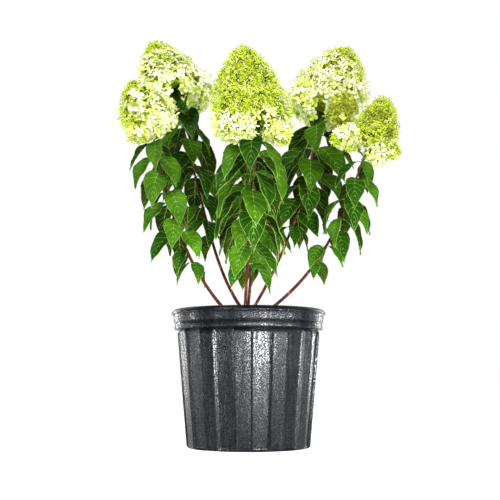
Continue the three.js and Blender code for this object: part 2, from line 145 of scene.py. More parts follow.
class Nodes:
    """A tree of nodes, of a material or of the surround."""

    def __init__(self, tree: bpy.types.NodeTree) -> None:
        """Hold the tree."""
        self.tree = tree

    def node(self, kind: str, settings: dict[str, object], sockets: dict[object, object]) -> bpy.types.Node:
        """Add a node.

        Args:
            kind: The node's type.
            settings: Its settings, and "stops" for a ramp, as pairs of place and grey level.
            sockets: Values or wires by the input's name or number.

        Returns:
            The new node.
        """
        node = self.tree.nodes.new(kind)
        for key, value in settings.items():
            if key == "stops":
                for stop, (place, level) in zip(node.color_ramp.elements, value):
                    stop.position = place
                    stop.color = (level, level, level, 1)
            else:
                setattr(node, key, value)
        self.feed(node, sockets)
        return node

    def wire(
        self, kind: str, settings: dict[str, object], sockets: dict[object, object], output: int | str = 0
    ) -> Wire:
        """Add a node and return one of its outputs."""
        return Wire(self, self.node(kind, settings, sockets).outputs[output])

    def feed(self, node: bpy.types.Node, sockets: dict[object, object]) -> None:
        """Set or link a node's inputs.

        Args:
            node: The node.
            sockets: Values or wires by the input's name or number.
        """
        for key, value in sockets.items():
            if isinstance(value, Wire):
                self.tree.links.new(value.socket, node.inputs[key])
            else:
                node.inputs[key].default_value = value


class Shading(Nodes):
    """The nodes of one material, with a Principled surface at their end."""

    def __init__(self, name: str) -> None:
        """Start an empty material.

        Args:
            name: The material's name.
        """
        self.material = bpy.data.materials.new(name)
        self.material.use_nodes = True
        super().__init__(self.material.node_tree)
        self.surface = self.tree.nodes["Principled BSDF"]

    def noise(self, scale: float, detail: float = 2, upright: float = 1) -> Wire:
        """Add cloudy noise in the object's coordinates.

        Args:
            scale: How fine it is.
            detail: How many finer layers it has.
            upright: Its scale along the upright axis, below 1 for streaks.

        Returns:
            The noise, about 0.5 on the whole.
        """
        source = self.wire("ShaderNodeTexCoord", {}, {}, "Object")
        place = self.wire("ShaderNodeMapping", {}, {"Vector": source, "Scale": (1, 1, upright)})
        return self.wire("ShaderNodeTexNoise", {}, {"Vector": place, "Scale": scale, "Detail": detail})

    def ramp(self, value: Wire, low: float, high: float) -> Wire:
        """Return 0 where a value is under low, and 1 where it is over high."""
        return self.wire("ShaderNodeValToRGB", {"stops": [(low, 0), (high, 1)]}, {0: value})

    def mixed(self, share: Wire, first: object, second: object) -> Wire:
        """Mix two colours.

        Args:
            share: How much of the second colour shows.
            first: The colour at 0, a triple or a wire.
            second: The colour at 1, a triple or a wire.

        Returns:
            The mixed colour.
        """
        colours = [colour if isinstance(colour, Wire) else (*colour, 1) for colour in (first, second)]
        settings = {"data_type": "RGBA", "blend_type": "MIX"}
        return self.wire("ShaderNodeMix", settings, {0: share, 6: colours[0], 7: colours[1]}, 2)

    def relief(self, height: Wire, depth: float, strength: float = 1) -> None:
        """Give the surface a bump of a depth in metres."""
        sockets = {"Height": height, "Distance": depth, "Strength": strength}
        self.feed(self.surface, {"Normal": self.wire("ShaderNodeBump", {}, sockets)})


# Finishes


@dataclass(frozen=True)
class PotPlastic:
    """Charcoal moulded plastic with a leathery skin, polished in fine specks along rubbed streaks."""

    name: str = "pot_plastic"
    slot: str = "pot"
    deep: Colour = (0.0015, 0.0023, 0.003)
    dusty: Colour = (0.005, 0.006, 0.007)
    streak_grain: float = 90
    streak_stretch: float = 0.04
    streak_range: tuple[float, float] = (0.42, 0.72)
    line_grain: float = 300
    line_stretch: float = 0.012
    line_range: tuple[float, float] = (0.47, 0.64)
    skin_grain: float = 500
    skin_range: tuple[float, float] = (0.35, 0.7)
    speck_grain: float = 480
    speck_detail: float = 1.3
    speck_range: tuple[float, float] = (0.5, 0.57)
    roughness: float = 0.2
    skin_roughness: float = 0.1
    gloss: float = 0.07
    polish: float = 0.21
    polish_ior: float = 1.46
    polish_shares: tuple[float, float, float] = (0.15, 0.35, 0.6)
    streak_height: float = 0.3
    relief: float = 0.0007
    relief_strength: float = 0.8

    def material(self) -> bpy.types.Material:
        """Mix the plastic: a dull skin under a coat that is only there in the specks.

        Returns:
            The material.
        """
        shading = Shading(self.name)
        streaks = shading.ramp(shading.noise(self.streak_grain, 3, self.streak_stretch), *self.streak_range)
        lines = shading.ramp(shading.noise(self.line_grain, 2, self.line_stretch), *self.line_range)
        skin = shading.noise(self.skin_grain, 2)
        specks = shading.ramp(shading.noise(self.speck_grain, self.speck_detail), *self.speck_range)
        everywhere, in_streaks, in_lines = self.polish_shares
        shading.feed(
            shading.surface,
            {
                "Base Color": shading.mixed(streaks, self.deep, self.dusty),
                "Roughness": self.roughness + self.skin_roughness * shading.ramp(skin, *self.skin_range),
                "Specular IOR Level": self.gloss,
                "Coat Weight": specks * (everywhere + in_streaks * streaks + in_lines * lines),
                "Coat Roughness": self.polish,
                "Coat IOR": self.polish_ior,
            },
        )
        shading.relief(skin + self.streak_height * streaks, self.relief, self.relief_strength)
        return shading.material


@dataclass(frozen=True)
class Skin:
    """A natural surface in two tones, dealt out by a fine grain and a broad drift."""

    name: str
    dark: Colour
    light: Colour
    slot: str = "leaf"
    roughness: float = 0.42
    rough_span: float = 0.16
    gloss: float = 0.05
    grain: float = 900
    grain_detail: float = 2
    grain_stretch: float = 1
    grain_share: float = 0.25
    drift: float = 38
    drift_share: float = 0.75
    tones: tuple[float, float] = (0.36, 0.64)
    relief: float = 0.0003
    relief_strength: float = 0.4
    # Painted light: an emission that lifts a surface's shade as if light shone through it, though the surface
    # is no lamp.
    painted_glow: float = 0.0
    painted_light_colour: Colour = (0.62, 0.80, 0.12)

    def material(self) -> bpy.types.Material:
        """Mix the two tones over the grain.

        Returns:
            The material.
        """
        shading = Shading(self.name)
        grain = shading.noise(self.grain, self.grain_detail, self.grain_stretch)
        drift = shading.noise(self.drift)
        share = shading.ramp(self.grain_share * grain + self.drift_share * drift, *self.tones)
        shading.feed(
            shading.surface,
            {
                "Base Color": shading.mixed(share, self.dark, self.light),
                "Roughness": self.roughness + self.rough_span * grain,
                "Specular IOR Level": self.gloss,
                # The emission is painted light, a glow that stands in for light shining through the surface.
                "Emission Color": (*self.painted_light_colour, 1),
                "Emission Strength": self.painted_glow,
            },
        )
        shading.relief(grain, self.relief, self.relief_strength)
        return shading.material


@dataclass(frozen=True)
class Loose(Skin):
    """Potting mix, grains and chips: dull, crumbly and uneven."""

    dark: Colour = (0.022, 0.008, 0.006)
    light: Colour = (0.085, 0.032, 0.022)
    slot: str = "soil"
    roughness: float = 0.75
    rough_span: float = 0.2
    gloss: float = 0.5
    grain: float = 320
    grain_detail: float = 4
    grain_share: float = 1.0
    drift_share: float = 0.0
    tones: tuple[float, float] = (0.35, 0.7)
    relief: float = 0.0015
    relief_strength: float = 1.0


@dataclass(frozen=True)
class Bark(Skin):
    """Young reddish bark with pale streaks that run along the stem."""

    dark: Colour = (0.030, 0.0042, 0.0012)
    light: Colour = (0.26, 0.085, 0.022)
    slot: str = "bark"
    rough_span: float = 0.25
    gloss: float = 0.08
    grain: float = 420
    grain_detail: float = 3
    grain_stretch: float = 0.12
    grain_share: float = 1.0
    drift: float = 45
    drift_share: float = 0.35
    tones: tuple[float, float] = (0.74, 0.90)
    relief: float = 0.0004
    relief_strength: float = 0.7


@dataclass(frozen=True)
class Petal(Skin):
    """Thin soft petals, with a painted glow that stands in for light shining through them and lifts their
    shade.
    """

    slot: str = "blossom"
    roughness: float = 0.6
    rough_span: float = 0.2
    gloss: float = 0.0
    grain: float = 1100
    grain_share: float = 0.3
    drift: float = 70
    drift_share: float = 0.7
    tones: tuple[float, float] = (0.38, 0.62)
    painted_glow: float = 0.15


Finish = PotPlastic | Skin


class Tone(Enum):
    """The tones that petals are dealt out in."""

    # Each tone's glow is painted light, standing in for light shining through the petals.
    CREAM = Petal("petal_cream", (0.84, 0.87, 0.52), (0.94, 0.94, 0.76))
    PALE = Petal("petal_pale", (0.62, 0.71, 0.15), (0.82, 0.88, 0.36))
    LIME = Petal("petal_lime", (0.50, 0.64, 0.020), (0.70, 0.82, 0.08), painted_glow=0.13)
    BRONZE = Petal("petal_bronze", (0.30, 0.34, 0.02), (0.52, 0.57, 0.06), painted_glow=0.06)
    # Painted shade: a dark tone for petals deep in a head, standing in for the shade between the flowers.
    DEEP_SHADE = Petal("petal_deep_shade", (0.12, 0.19, 0.008), (0.27, 0.37, 0.025), painted_glow=0.0)


# Two greens for the leaves' upper faces. They are partly tone that differs at random and partly painted
# light: a shaded green and a lit green.
LEAF_SHADED_AND_LIT_FACES = (
    Skin("leaf_shaded_green", (0.004, 0.023, 0.0004), (0.0135, 0.053, 0.0008)),
    Skin("leaf_lit_green", (0.016, 0.059, 0.001), (0.039, 0.109, 0.003)),
)
# The backs are darkened as painted shade: the shade that falls under the leaves.
LEAF_BACK = Skin("leaf_back_shaded", (0.007, 0.018, 0.0007), (0.022, 0.042, 0.002), roughness=0.6, gloss=0.02)
VEIN = Skin("leaf_vein", (0.11, 0.24, 0.025), (0.24, 0.40, 0.08))
FLOWER_STALK = Skin("flower_stalk", (0.06, 0.11, 0.006), (0.15, 0.23, 0.02), slot="blossom", gloss=0.0)


# Pieces


class Workshop:
    """Makes finished pieces: meshes with a material, on the plant's one body."""

    materials: dict[str, bpy.types.Material] = {}

    @classmethod
    def settle(cls, piece: bpy.types.Object, name: str, finish: Finish, nodes: Iterable[str] = ()) -> None:
        """Name and dress a piece, and hide the frame's parts that it stands for.

        Args:
            piece: The mesh object, in place.
            name: Its name.
            finish: The finish, with a name and a material.
            nodes: The frame's nodes that it stands for.
        """
        piece.name = name
        piece.data.name = name
        if finish.name not in cls.materials:
            cls.materials[finish.name] = finish.material()
        piece.data.materials.clear()
        piece.data.materials.append(cls.materials[finish.name])
        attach(piece, BODY)
        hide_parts(*nodes)
        LOG.info("%s: %d faces", name, len(piece.data.polygons))

    @staticmethod
    def edit(piece: bpy.types.Object) -> None:
        """Make a piece the only one selected and open all of it for editing.

        Args:
            piece: The mesh object.
        """
        bpy.ops.object.select_all(action="DESELECT")
        piece.select_set(True)
        bpy.context.view_layer.objects.active = piece
        bpy.ops.object.mode_set(mode="EDIT")
        bpy.ops.mesh.select_all(action="SELECT")

    @staticmethod
    def leave() -> bpy.types.Object:
        """Close the piece that is open for editing, and return it."""
        bpy.ops.object.mode_set(mode="OBJECT")
        return bpy.context.object

    @classmethod
    def spun(cls, profile: Sequence[tuple[float, float]], steps: int) -> bpy.types.Object:
        """Extrude a row of edges along a profile and spin it about the upright axis.

        Args:
            profile: Radius and height in millimetres, from axis to axis.
            steps: Steps in a full turn.

        Returns:
            A closed mesh object at the origin.
        """
        bpy.ops.object.select_all(action="DESELECT")
        radius, height = profile[0]
        bpy.ops.mesh.primitive_plane_add(size=MM, location=(0, 0, 0))
        piece = bpy.context.object
        cls.edit(piece)
        bpy.ops.mesh.merge(type="CENTER")
        bpy.ops.transform.translate(value=(0, -radius * MM, height * MM))
        for (radius, height), (next_radius, next_height) in zip(profile, profile[1:]):
            move = (0, (radius - next_radius) * MM, (next_height - height) * MM)
            bpy.ops.mesh.extrude_region_move(TRANSFORM_OT_translate={"value": move})
        bpy.ops.mesh.select_all(action="SELECT")
        bpy.ops.mesh.spin(steps=steps, angle=2 * math.pi, center=(0, 0, 0), axis=(0, 0, 1))
        bpy.ops.mesh.select_all(action="SELECT")
        bpy.ops.mesh.remove_doubles(threshold=0.01 * MM)
        bpy.ops.mesh.normals_make_consistent(inside=False)
        return cls.leave()

    @staticmethod
    def corners(piece: bpy.types.Object) -> Array:
        """Read a mesh's corners.

        Args:
            piece: The mesh object.

        Returns:
            The corners in millimetres.
        """
        flat = np.empty(3 * len(piece.data.vertices), np.float32)
        piece.data.vertices.foreach_get("co", flat)
        return flat.reshape(-1, 3).astype(float) / MM

    @staticmethod
    def move_corners(piece: bpy.types.Object, corners: Array) -> None:
        """Put a mesh's corners at places in millimetres."""
        piece.data.vertices.foreach_set("co", (corners * MM).astype(np.float32).ravel())
        piece.data.update()

    @classmethod
    def rod(cls, sides: int, rings: int) -> bpy.types.Object:
        """Add a cylinder and subdivide it into rings.

        Args:
            sides: Sides round it.
            rings: Rings along it, from one end to the other.

        Returns:
            A closed mesh object of radius 1 mm, from height 0 to 1 mm.
        """
        bpy.ops.object.select_all(action="DESELECT")
        bpy.ops.mesh.primitive_cylinder_add(vertices=sides, radius=MM, depth=MM, location=(0, 0, MM / 2))
        piece = bpy.context.object
        bpy.ops.object.transform_apply(location=True, rotation=False, scale=False)
        cls.edit(piece)
        bpy.ops.mesh.select_mode(type="EDGE")
        bpy.ops.mesh.select_all(action="DESELECT")
        cls.leave()
        for edge in piece.data.edges:
            ends = [piece.data.vertices[k].co.z for k in edge.vertices]
            edge.select = abs(ends[0] - ends[1]) > MM / 2
        bpy.ops.object.mode_set(mode="EDIT")
        bpy.ops.mesh.subdivide(number_cuts=rings - 2)
        return cls.leave()


@dataclass(frozen=True)
class Shape:
    """A small closed shape: its corners, and faces of four and of three corners."""

    corners: Array
    quads: Array
    triangles: Array


class Pile:
    """Gathers small closed shapes of one finish, which become one joined piece."""

    def __init__(self) -> None:
        """Start with nothing."""
        self.corners: list[Array] = []
        self.faces: list[Array] = []
        self.count = 0

    def add(self, shape: Shape) -> None:
        """Add one shape.

        Args:
            shape: The shape, with its corners in millimetres.
        """
        self.corners.append(shape.corners)
        for block in (shape.quads, shape.triangles):
            if len(block):
                self.faces.append(block + self.count)
        self.count += len(shape.corners)

    def scatter(self, shape: Shape, places: Array, turns: Array, sizes: Array) -> None:
        """Add many copies of one shape.

        Args:
            shape: The shape, about its own origin.
            places: One point for each copy.
            turns: One matrix for each copy, whose columns are the copy's own axes.
            sizes: One size for each copy.
        """
        if not len(places):
            return
        corners = np.einsum("nij,kj->nki", turns, shape.corners) * sizes[:, None, None]
        corners += places[:, None, :]
        starts = self.count + len(shape.corners) * np.arange(len(places))
        self.corners.append(corners.reshape(-1, 3))
        for block in (shape.quads, shape.triangles):
            if len(block):
                self.faces.append((block[None] + starts[:, None, None]).reshape(-1, block.shape[1]))
        self.count += len(shape.corners) * len(places)

    def piece(self, name: str, finish: Finish, nodes: Iterable[str] = ()) -> None:
        """Join all shapes into one smooth piece.

        Args:
            name: The piece's name.
            finish: Its finish.
            nodes: The frame's nodes that it stands for.
        """
        if not self.count:
            return
        mesh = bpy.data.meshes.new(name)
        faces = [face for block in self.faces for face in block.tolist()]
        mesh.from_pydata(np.concatenate(self.corners) * MM, [], faces)
        mesh.shade_smooth()
        piece = bpy.data.objects.new(name, mesh)
        bpy.context.scene.collection.objects.link(piece)
        Workshop.settle(piece, name, finish, nodes)


@lru_cache
def lens_faces(rows: int, columns: int) -> tuple[Array, Array]:
    """Number the faces of a thin closed blade.

    Its corners are the start, the end, the upper grid, and the lower grid without its two edges.

    Args:
        rows: Rows of the grid along the blade.
        columns: Columns across it.

    Returns:
        Faces of four corners and of three.
    """
    upper = 2 + np.arange(rows * columns).reshape(rows, columns)
    lower = upper.copy()
    inner = rows * (columns - 2)
    lower[:, 1:-1] = 2 + rows * columns + np.arange(inner).reshape(rows, columns - 2)
    quads, triangles = [], []
    for grid, order in ((upper, 1), (lower, -1)):
        block = np.stack([grid[:-1, :-1], grid[1:, :-1], grid[1:, 1:], grid[:-1, 1:]], -1)
        quads.append(block.reshape(-1, 4)[:, ::order])
        for tip, row, turn in ((0, grid[0], order), (1, grid[-1][::-1], order)):
            fan = np.stack([np.full(columns - 1, tip), row[:-1], row[1:]], -1)
            triangles.append(fan[:, ::turn])
    return np.concatenate(quads), np.concatenate(triangles)


def lens(start: Array, end: Array, upper: Array, lower: Array) -> Shape:
    """Make a thin closed blade.

    Args:
        start: The point at its root.
        end: The point at its tip.
        upper: The upper grid of points, rows by columns, with the blade's edges.
        lower: The lower grid, whose edges are not used.

    Returns:
        The blade.
    """
    corners = [start[None], end[None], upper.reshape(-1, 3), lower[:, 1:-1].reshape(-1, 3)]
    return Shape(np.concatenate(corners), *lens_faces(*upper.shape[:2]))


def rod(points: Array, radii: Array, sides: int) -> Shape:
    """Make a closed tapering rod through a row of points.

    Args:
        points: The points down its middle.
        radii: Its radius at each point.
        sides: Sides round it.

    Returns:
        The rod, with a flat cap at each end.
    """
    along = unit(np.gradient(points, axis=0))
    lean = np.array([0.31, 0.95, 0.05])
    across = unit(np.cross(along, lean))
    over = np.cross(along, across)
    turns = 2 * math.pi * np.arange(sides) / sides
    ring = np.cos(turns)[None, :, None] * across[:, None] + np.sin(turns)[None, :, None] * over[:, None]
    corners = (points[:, None] + radii[:, None, None] * ring).reshape(-1, 3)
    grid = np.arange(len(points) * sides).reshape(-1, sides)
    beside = np.roll(grid, -1, axis=1)
    quads = np.stack([grid[:-1], beside[:-1], beside[1:], grid[1:]], -1).reshape(-1, 4)
    fan = np.arange(1, sides - 1)
    last = grid[-1, 0]
    caps = [np.stack([0 * fan, fan + 1, fan], -1), np.stack([last + 0 * fan, last + fan, last + fan + 1], -1)]
    return Shape(corners, quads, np.concatenate(caps))


# Growth


@dataclass(frozen=True)
class Stem:
    """A stem that leans out from its foot, fast at first, to the tip under its flower head."""

    foot: tuple[float, float]
    tip: tuple[float, float, float]
    straight: float
    bend: float
    bare_to: float
    nodes: tuple[float, ...]
    phase: float
    twist: float
    leaf: float
    seed: int
    foot_height: float = 214
    foot_radius: float = 3.1
    tip_radius: float = 1.8

    def point(self, height: float) -> Array:
        """Find the middle of the stem.

        Args:
            height: A height on it.

        Returns:
            The point in its middle there.
        """
        rise = min(1.0, (height - self.foot_height) / (self.tip[2] - self.foot_height))
        sway = self.straight * rise + (1 - self.straight) * (1 - (1 - rise) ** self.bend)
        spots = [a + (b - a) * sway for a, b in zip(self.foot, self.tip)]
        return np.array([*spots, height])

    def radius(self, height: float) -> float:
        """Return the stem's radius at a height."""
        share = (height - self.foot_height) / (self.tip[2] - self.foot_height)
        return self.foot_radius + (self.tip_radius - self.foot_radius) * share


class Bloom(Enum):
    """How open a head is, from 0 (small buds) to 1 (broad petals).

    The numbers say how open it is low down, how open at its tip, at which share of its length the one gives
    way to the other, and how much more open it is on its +X side.
    """

    CREAM = (1.0, 0.15, 0.78, 0.0)
    SIDED = (0.85, 0.25, 0.75, 0.6)
    LIME = (0.85, 0.12, 0.22, -0.2)
    BUDS = (0.0, 0.0, 0.5, 0.0)
    BRONZE = (1.0, 1.0, 0.5, 0.1)


def turned_by(turn: float, away: float) -> float:
    """Return how far a turn in radians is from one in degrees, in degrees from -180 to 180."""
    return (math.degrees(turn) - away + 180) % 360 - 180


@dataclass(frozen=True)
class Cone:
    """A cone of blossom from its low end to its tip, and how it is filled."""

    low: tuple[float, float, float]
    tip: tuple[float, float, float]
    radius: float
    taper: float
    bloom: Bloom
    petal: float = 11
    is_long: bool = False
    paleness: float = 0.0
    notch: tuple[float, float, float] = (0, 0, 0)
    holes: tuple[tuple[float, float, float], ...] = ()
    bracts: tuple[tuple[float, float, float, float, float], ...] = ()
    swell: float = 0.16
    roundness: float = 0.7
    lumps: tuple[float, float] = (0.07, 0.05)
    felt: tuple[float, float] = (0.08, 0.96)
    slope_step: float = 0.01
    ends: tuple[float, float] = (0.001, 0.999)
    blend: float = 0.12
    patchiness: float = 0.16

    @property
    def frame(self) -> tuple[Array, Array, float, Array, Array]:
        """Lay the cone's own axes.

        Returns:
            The low end, the way along, the length, and the ways across and over.
        """
        low = np.array(self.low, float)
        along = np.array(self.tip, float) - low
        length = float(np.linalg.norm(along))
        along = along / length
        across = unit(np.array([1.0, 0, 0]) - along * along[0])
        return low, along, length, across, np.cross(along, across)

    def reach(self, share: Array, turn: Array) -> Array:
        """Return the cone's radius.

        Args:
            share: Share of the way from the low end to the tip.
            turn: Turn about the axis, in radians.

        Returns:
            The radius in millimetres.
        """
        narrowing = np.maximum(0, 1 - share**self.taper) ** self.roundness
        start = np.minimum(1, share / self.swell)
        swell = np.sqrt(np.maximum(0, 1 - (1 - start) ** 2))
        lumps = self.lumps[0] * np.sin(5 * turn + 7 * share + self.tip[0])
        lumps = lumps + self.lumps[1] * np.sin(8 * turn - 12 * share + self.tip[2])
        return self.radius * narrowing * swell * (1 + lumps)

    def surface(self, share: Array, turn: Array, scale: Array) -> tuple[Array, Array]:
        """Return points on the cone, and the way out of it there.

        Args:
            share: Shares of the way along.
            turn: Turns about the axis.
            scale: Shares of the full radius.

        Returns:
            Points and outward directions.
        """
        low, along, length, across, over = self.frame
        out = np.cos(turn)[:, None] * across + np.sin(turn)[:, None] * over
        points = low + share[:, None] * length * along + (scale * self.reach(share, turn))[:, None] * out
        ahead = self.reach(np.minimum(share + self.slope_step, self.ends[1]), turn)
        behind = self.reach(np.maximum(share - self.slope_step, self.ends[0]), turn)
        lean = (behind - ahead) / (2 * self.slope_step * length)
        return points, unit(out + lean[:, None] * along)

    def is_bare(self, share: float, turn: float, is_deep: bool) -> bool:
        """Say whether a place is kept free of flowers.

        The notch is a gap under the head that closes upwards; holes only show what lies deeper, the dark
        petals of painted shade.

        Args:
            share: The place's share of the way along.
            turn: Its turn about the axis, in radians.
            is_deep: Whether it is deep in the head.

        Returns:
            Whether nothing grows there.
        """
        away, half, limit = self.notch
        if share < limit and abs(turned_by(turn, away)) < half * (1 - share / limit):
            return True
        radius = float(self.reach(share, turn))
        for middle, away, wide in self.holes:
            run = (share - middle) * self.frame[2]
            if not is_deep and math.hypot(run, radius * math.radians(turned_by(turn, away))) < wide:
                return True
        return False

    def openness(self, share: float, turn: float) -> float:
        """Say how open the flowers are at a place.

        Args:
            share: The place's share of the way along.
            turn: Its turn about the axis, in radians.

        Returns:
            From about 0 for buds to about 1 for broad petals.
        """
        low, high, change, lean = self.bloom.value
        patch = 0.6 * math.sin(3 * turn + 9 * share + self.tip[1]) + 0.4 * math.sin(7 * turn - 13 * share)
        step = float(smoothstep(change - self.blend, change + self.blend, share))
        return low + (high - low) * step + lean * math.cos(turn) + self.patchiness * patch

    def holds(self, samples: Array, margin: float) -> Array:
        """Say which points are in the cone.

        Args:
            samples: The points.
            margin: How far outside it still counts.

        Returns:
            Whether each point is in it.
        """
        low, along, length, across, over = self.frame
        arm = samples - low
        height = arm @ along
        turn = np.arctan2(arm @ over, arm @ across)
        share = np.clip(height / length, *self.felt)
        distance = np.sqrt(np.maximum(0, (arm * arm).sum(1) - height * height))
        level = (height >= -margin) & (height <= length + margin)
        return level & (distance < self.reach(share, turn) + margin)


STEMS = {
    "middle": Stem(
        (-8, -9), (10, -88, 538), 1, 1, 306,
        (322, 352, 395, 415, 446, 477, 505, 531),
        343, 14, 102, 6347,
    ),
    "outer_left": Stem(
        (-14, -3), (-174, -50, 556), 0.52, 3.6, 314,
        (326, 348, 380, 400, 431, 451, 485, 512, 541),
        161, 75, 80, 5263,
    ),
    "outer_right": Stem(
        (-7, -4), (207, -50, 512), 0.53, 3.8, 318,
        (327, 354, 379, 402, 426, 438, 474, 506),
        263, 75, 73, 2690,
    ),
    "inner_left": Stem(
        (15, -2), (-134, 70, 632), 0.7, 6.6, 372,
        (385, 412, 441, 466, 502, 520, 547, 574, 603, 627),
        223, 61, 92, 8701,
    ),
    "inner_right": Stem(
        (-13, 8), (135, 60, 612), 0.49, 2.5, 394,
        (402, 430, 455, 485, 505, 530, 556, 583, 602),
        270, 45, 98, 6360,
    ),
    "rear": Stem(
        (-6, 14), (15, 150, 600), 0.57, 4.8, 330,
        (346, 375, 405, 435, 463, 498, 525, 550, 572),
        216, 45, 95, 6164,
    ),
}
HEADS = {
    "middle": (
        Cone(
            (9, -92, 541), (-12, -105, 705), 69, 2.4, Bloom.LIME, 10, True, -0.12, notch=(-77, 13, 0.22),
            holes=((0.58, -108, 4), (0.39, -75, 5)),
            bracts=((0.22, -60, 44, 78, 15), (-0.02, -97, 84, 86, 8)),
        ),
        Cone((44, -98, 562), (66, -104, 526), 22, 2.4, Bloom.CREAM, 10),
    ),
    "outer_left": (Cone((-170, -48, 562), (-214, -55, 657), 47.5, 2.6, Bloom.SIDED, 10.4),),
    "outer_right": (
        Cone((226, -54, 540), (247, -60, 626), 38, 2.5, Bloom.BUDS),
        Cone((198, -50, 556), (148, -55, 546), 24, 2.4, Bloom.CREAM, 9),
        Cone((214, -56, 532), (274, -60, 524), 25, 2.4, Bloom.CREAM, 12, True),
    ),
    "inner_left": (
        Cone(
            (-130, 72, 636), (-192, 80, 782), 75, 1.75, Bloom.CREAM, 10.8, notch=(-86, 17, 0.36),
            bracts=((0.30, -64, 86, 68, 40), (0.03, -128, 76, 84, -14), (0.0, -62, 82, 85, 18)),
        ),
    ),
    "inner_right": (
        Cone(
            (142, 62, 616), (196, 72, 766), 76, 2.2, Bloom.CREAM, 10.8, notch=(-100, 22, 0.18),
            bracts=((0.1, 215, 50, 80, -20), (0.1, -35, 50, 78, 25)),
        ),
        Cone((176, 14, 648), (170, -12, 592), 24, 2.6, Bloom.BRONZE, 11),
    ),
    "rear": (Cone((15, 150, 612), (-8, 156, 758), 54, 1.9, Bloom.CREAM),),
}
GAP = 0.3
NECK = 5.0
STALK_IN_CONE = 0.4


def branch_path(stem: Stem, cone: Cone) -> Array:
    """Lay a cone's branch: out of the stem's tip, then straight to the cone's middle.

    Args:
        stem: The stem that bears it.
        cone: The cone.

    Returns:
        The branch's three points.
    """
    low, along, length, _, _ = cone.frame
    foot = stem.point(stem.tip[2])
    lead = unit(foot - stem.point(stem.tip[2] - NECK))
    return np.array([foot + GAP * lead, foot + NECK * lead, low + STALK_IN_CONE * length * along])


@dataclass(frozen=True)
class Leaf:
    """A grown leaf: points from stalk to tip, the ways across and out of its face, length and rank."""

    points: Array
    across: Array
    over: Array
    length: float
    rank: float


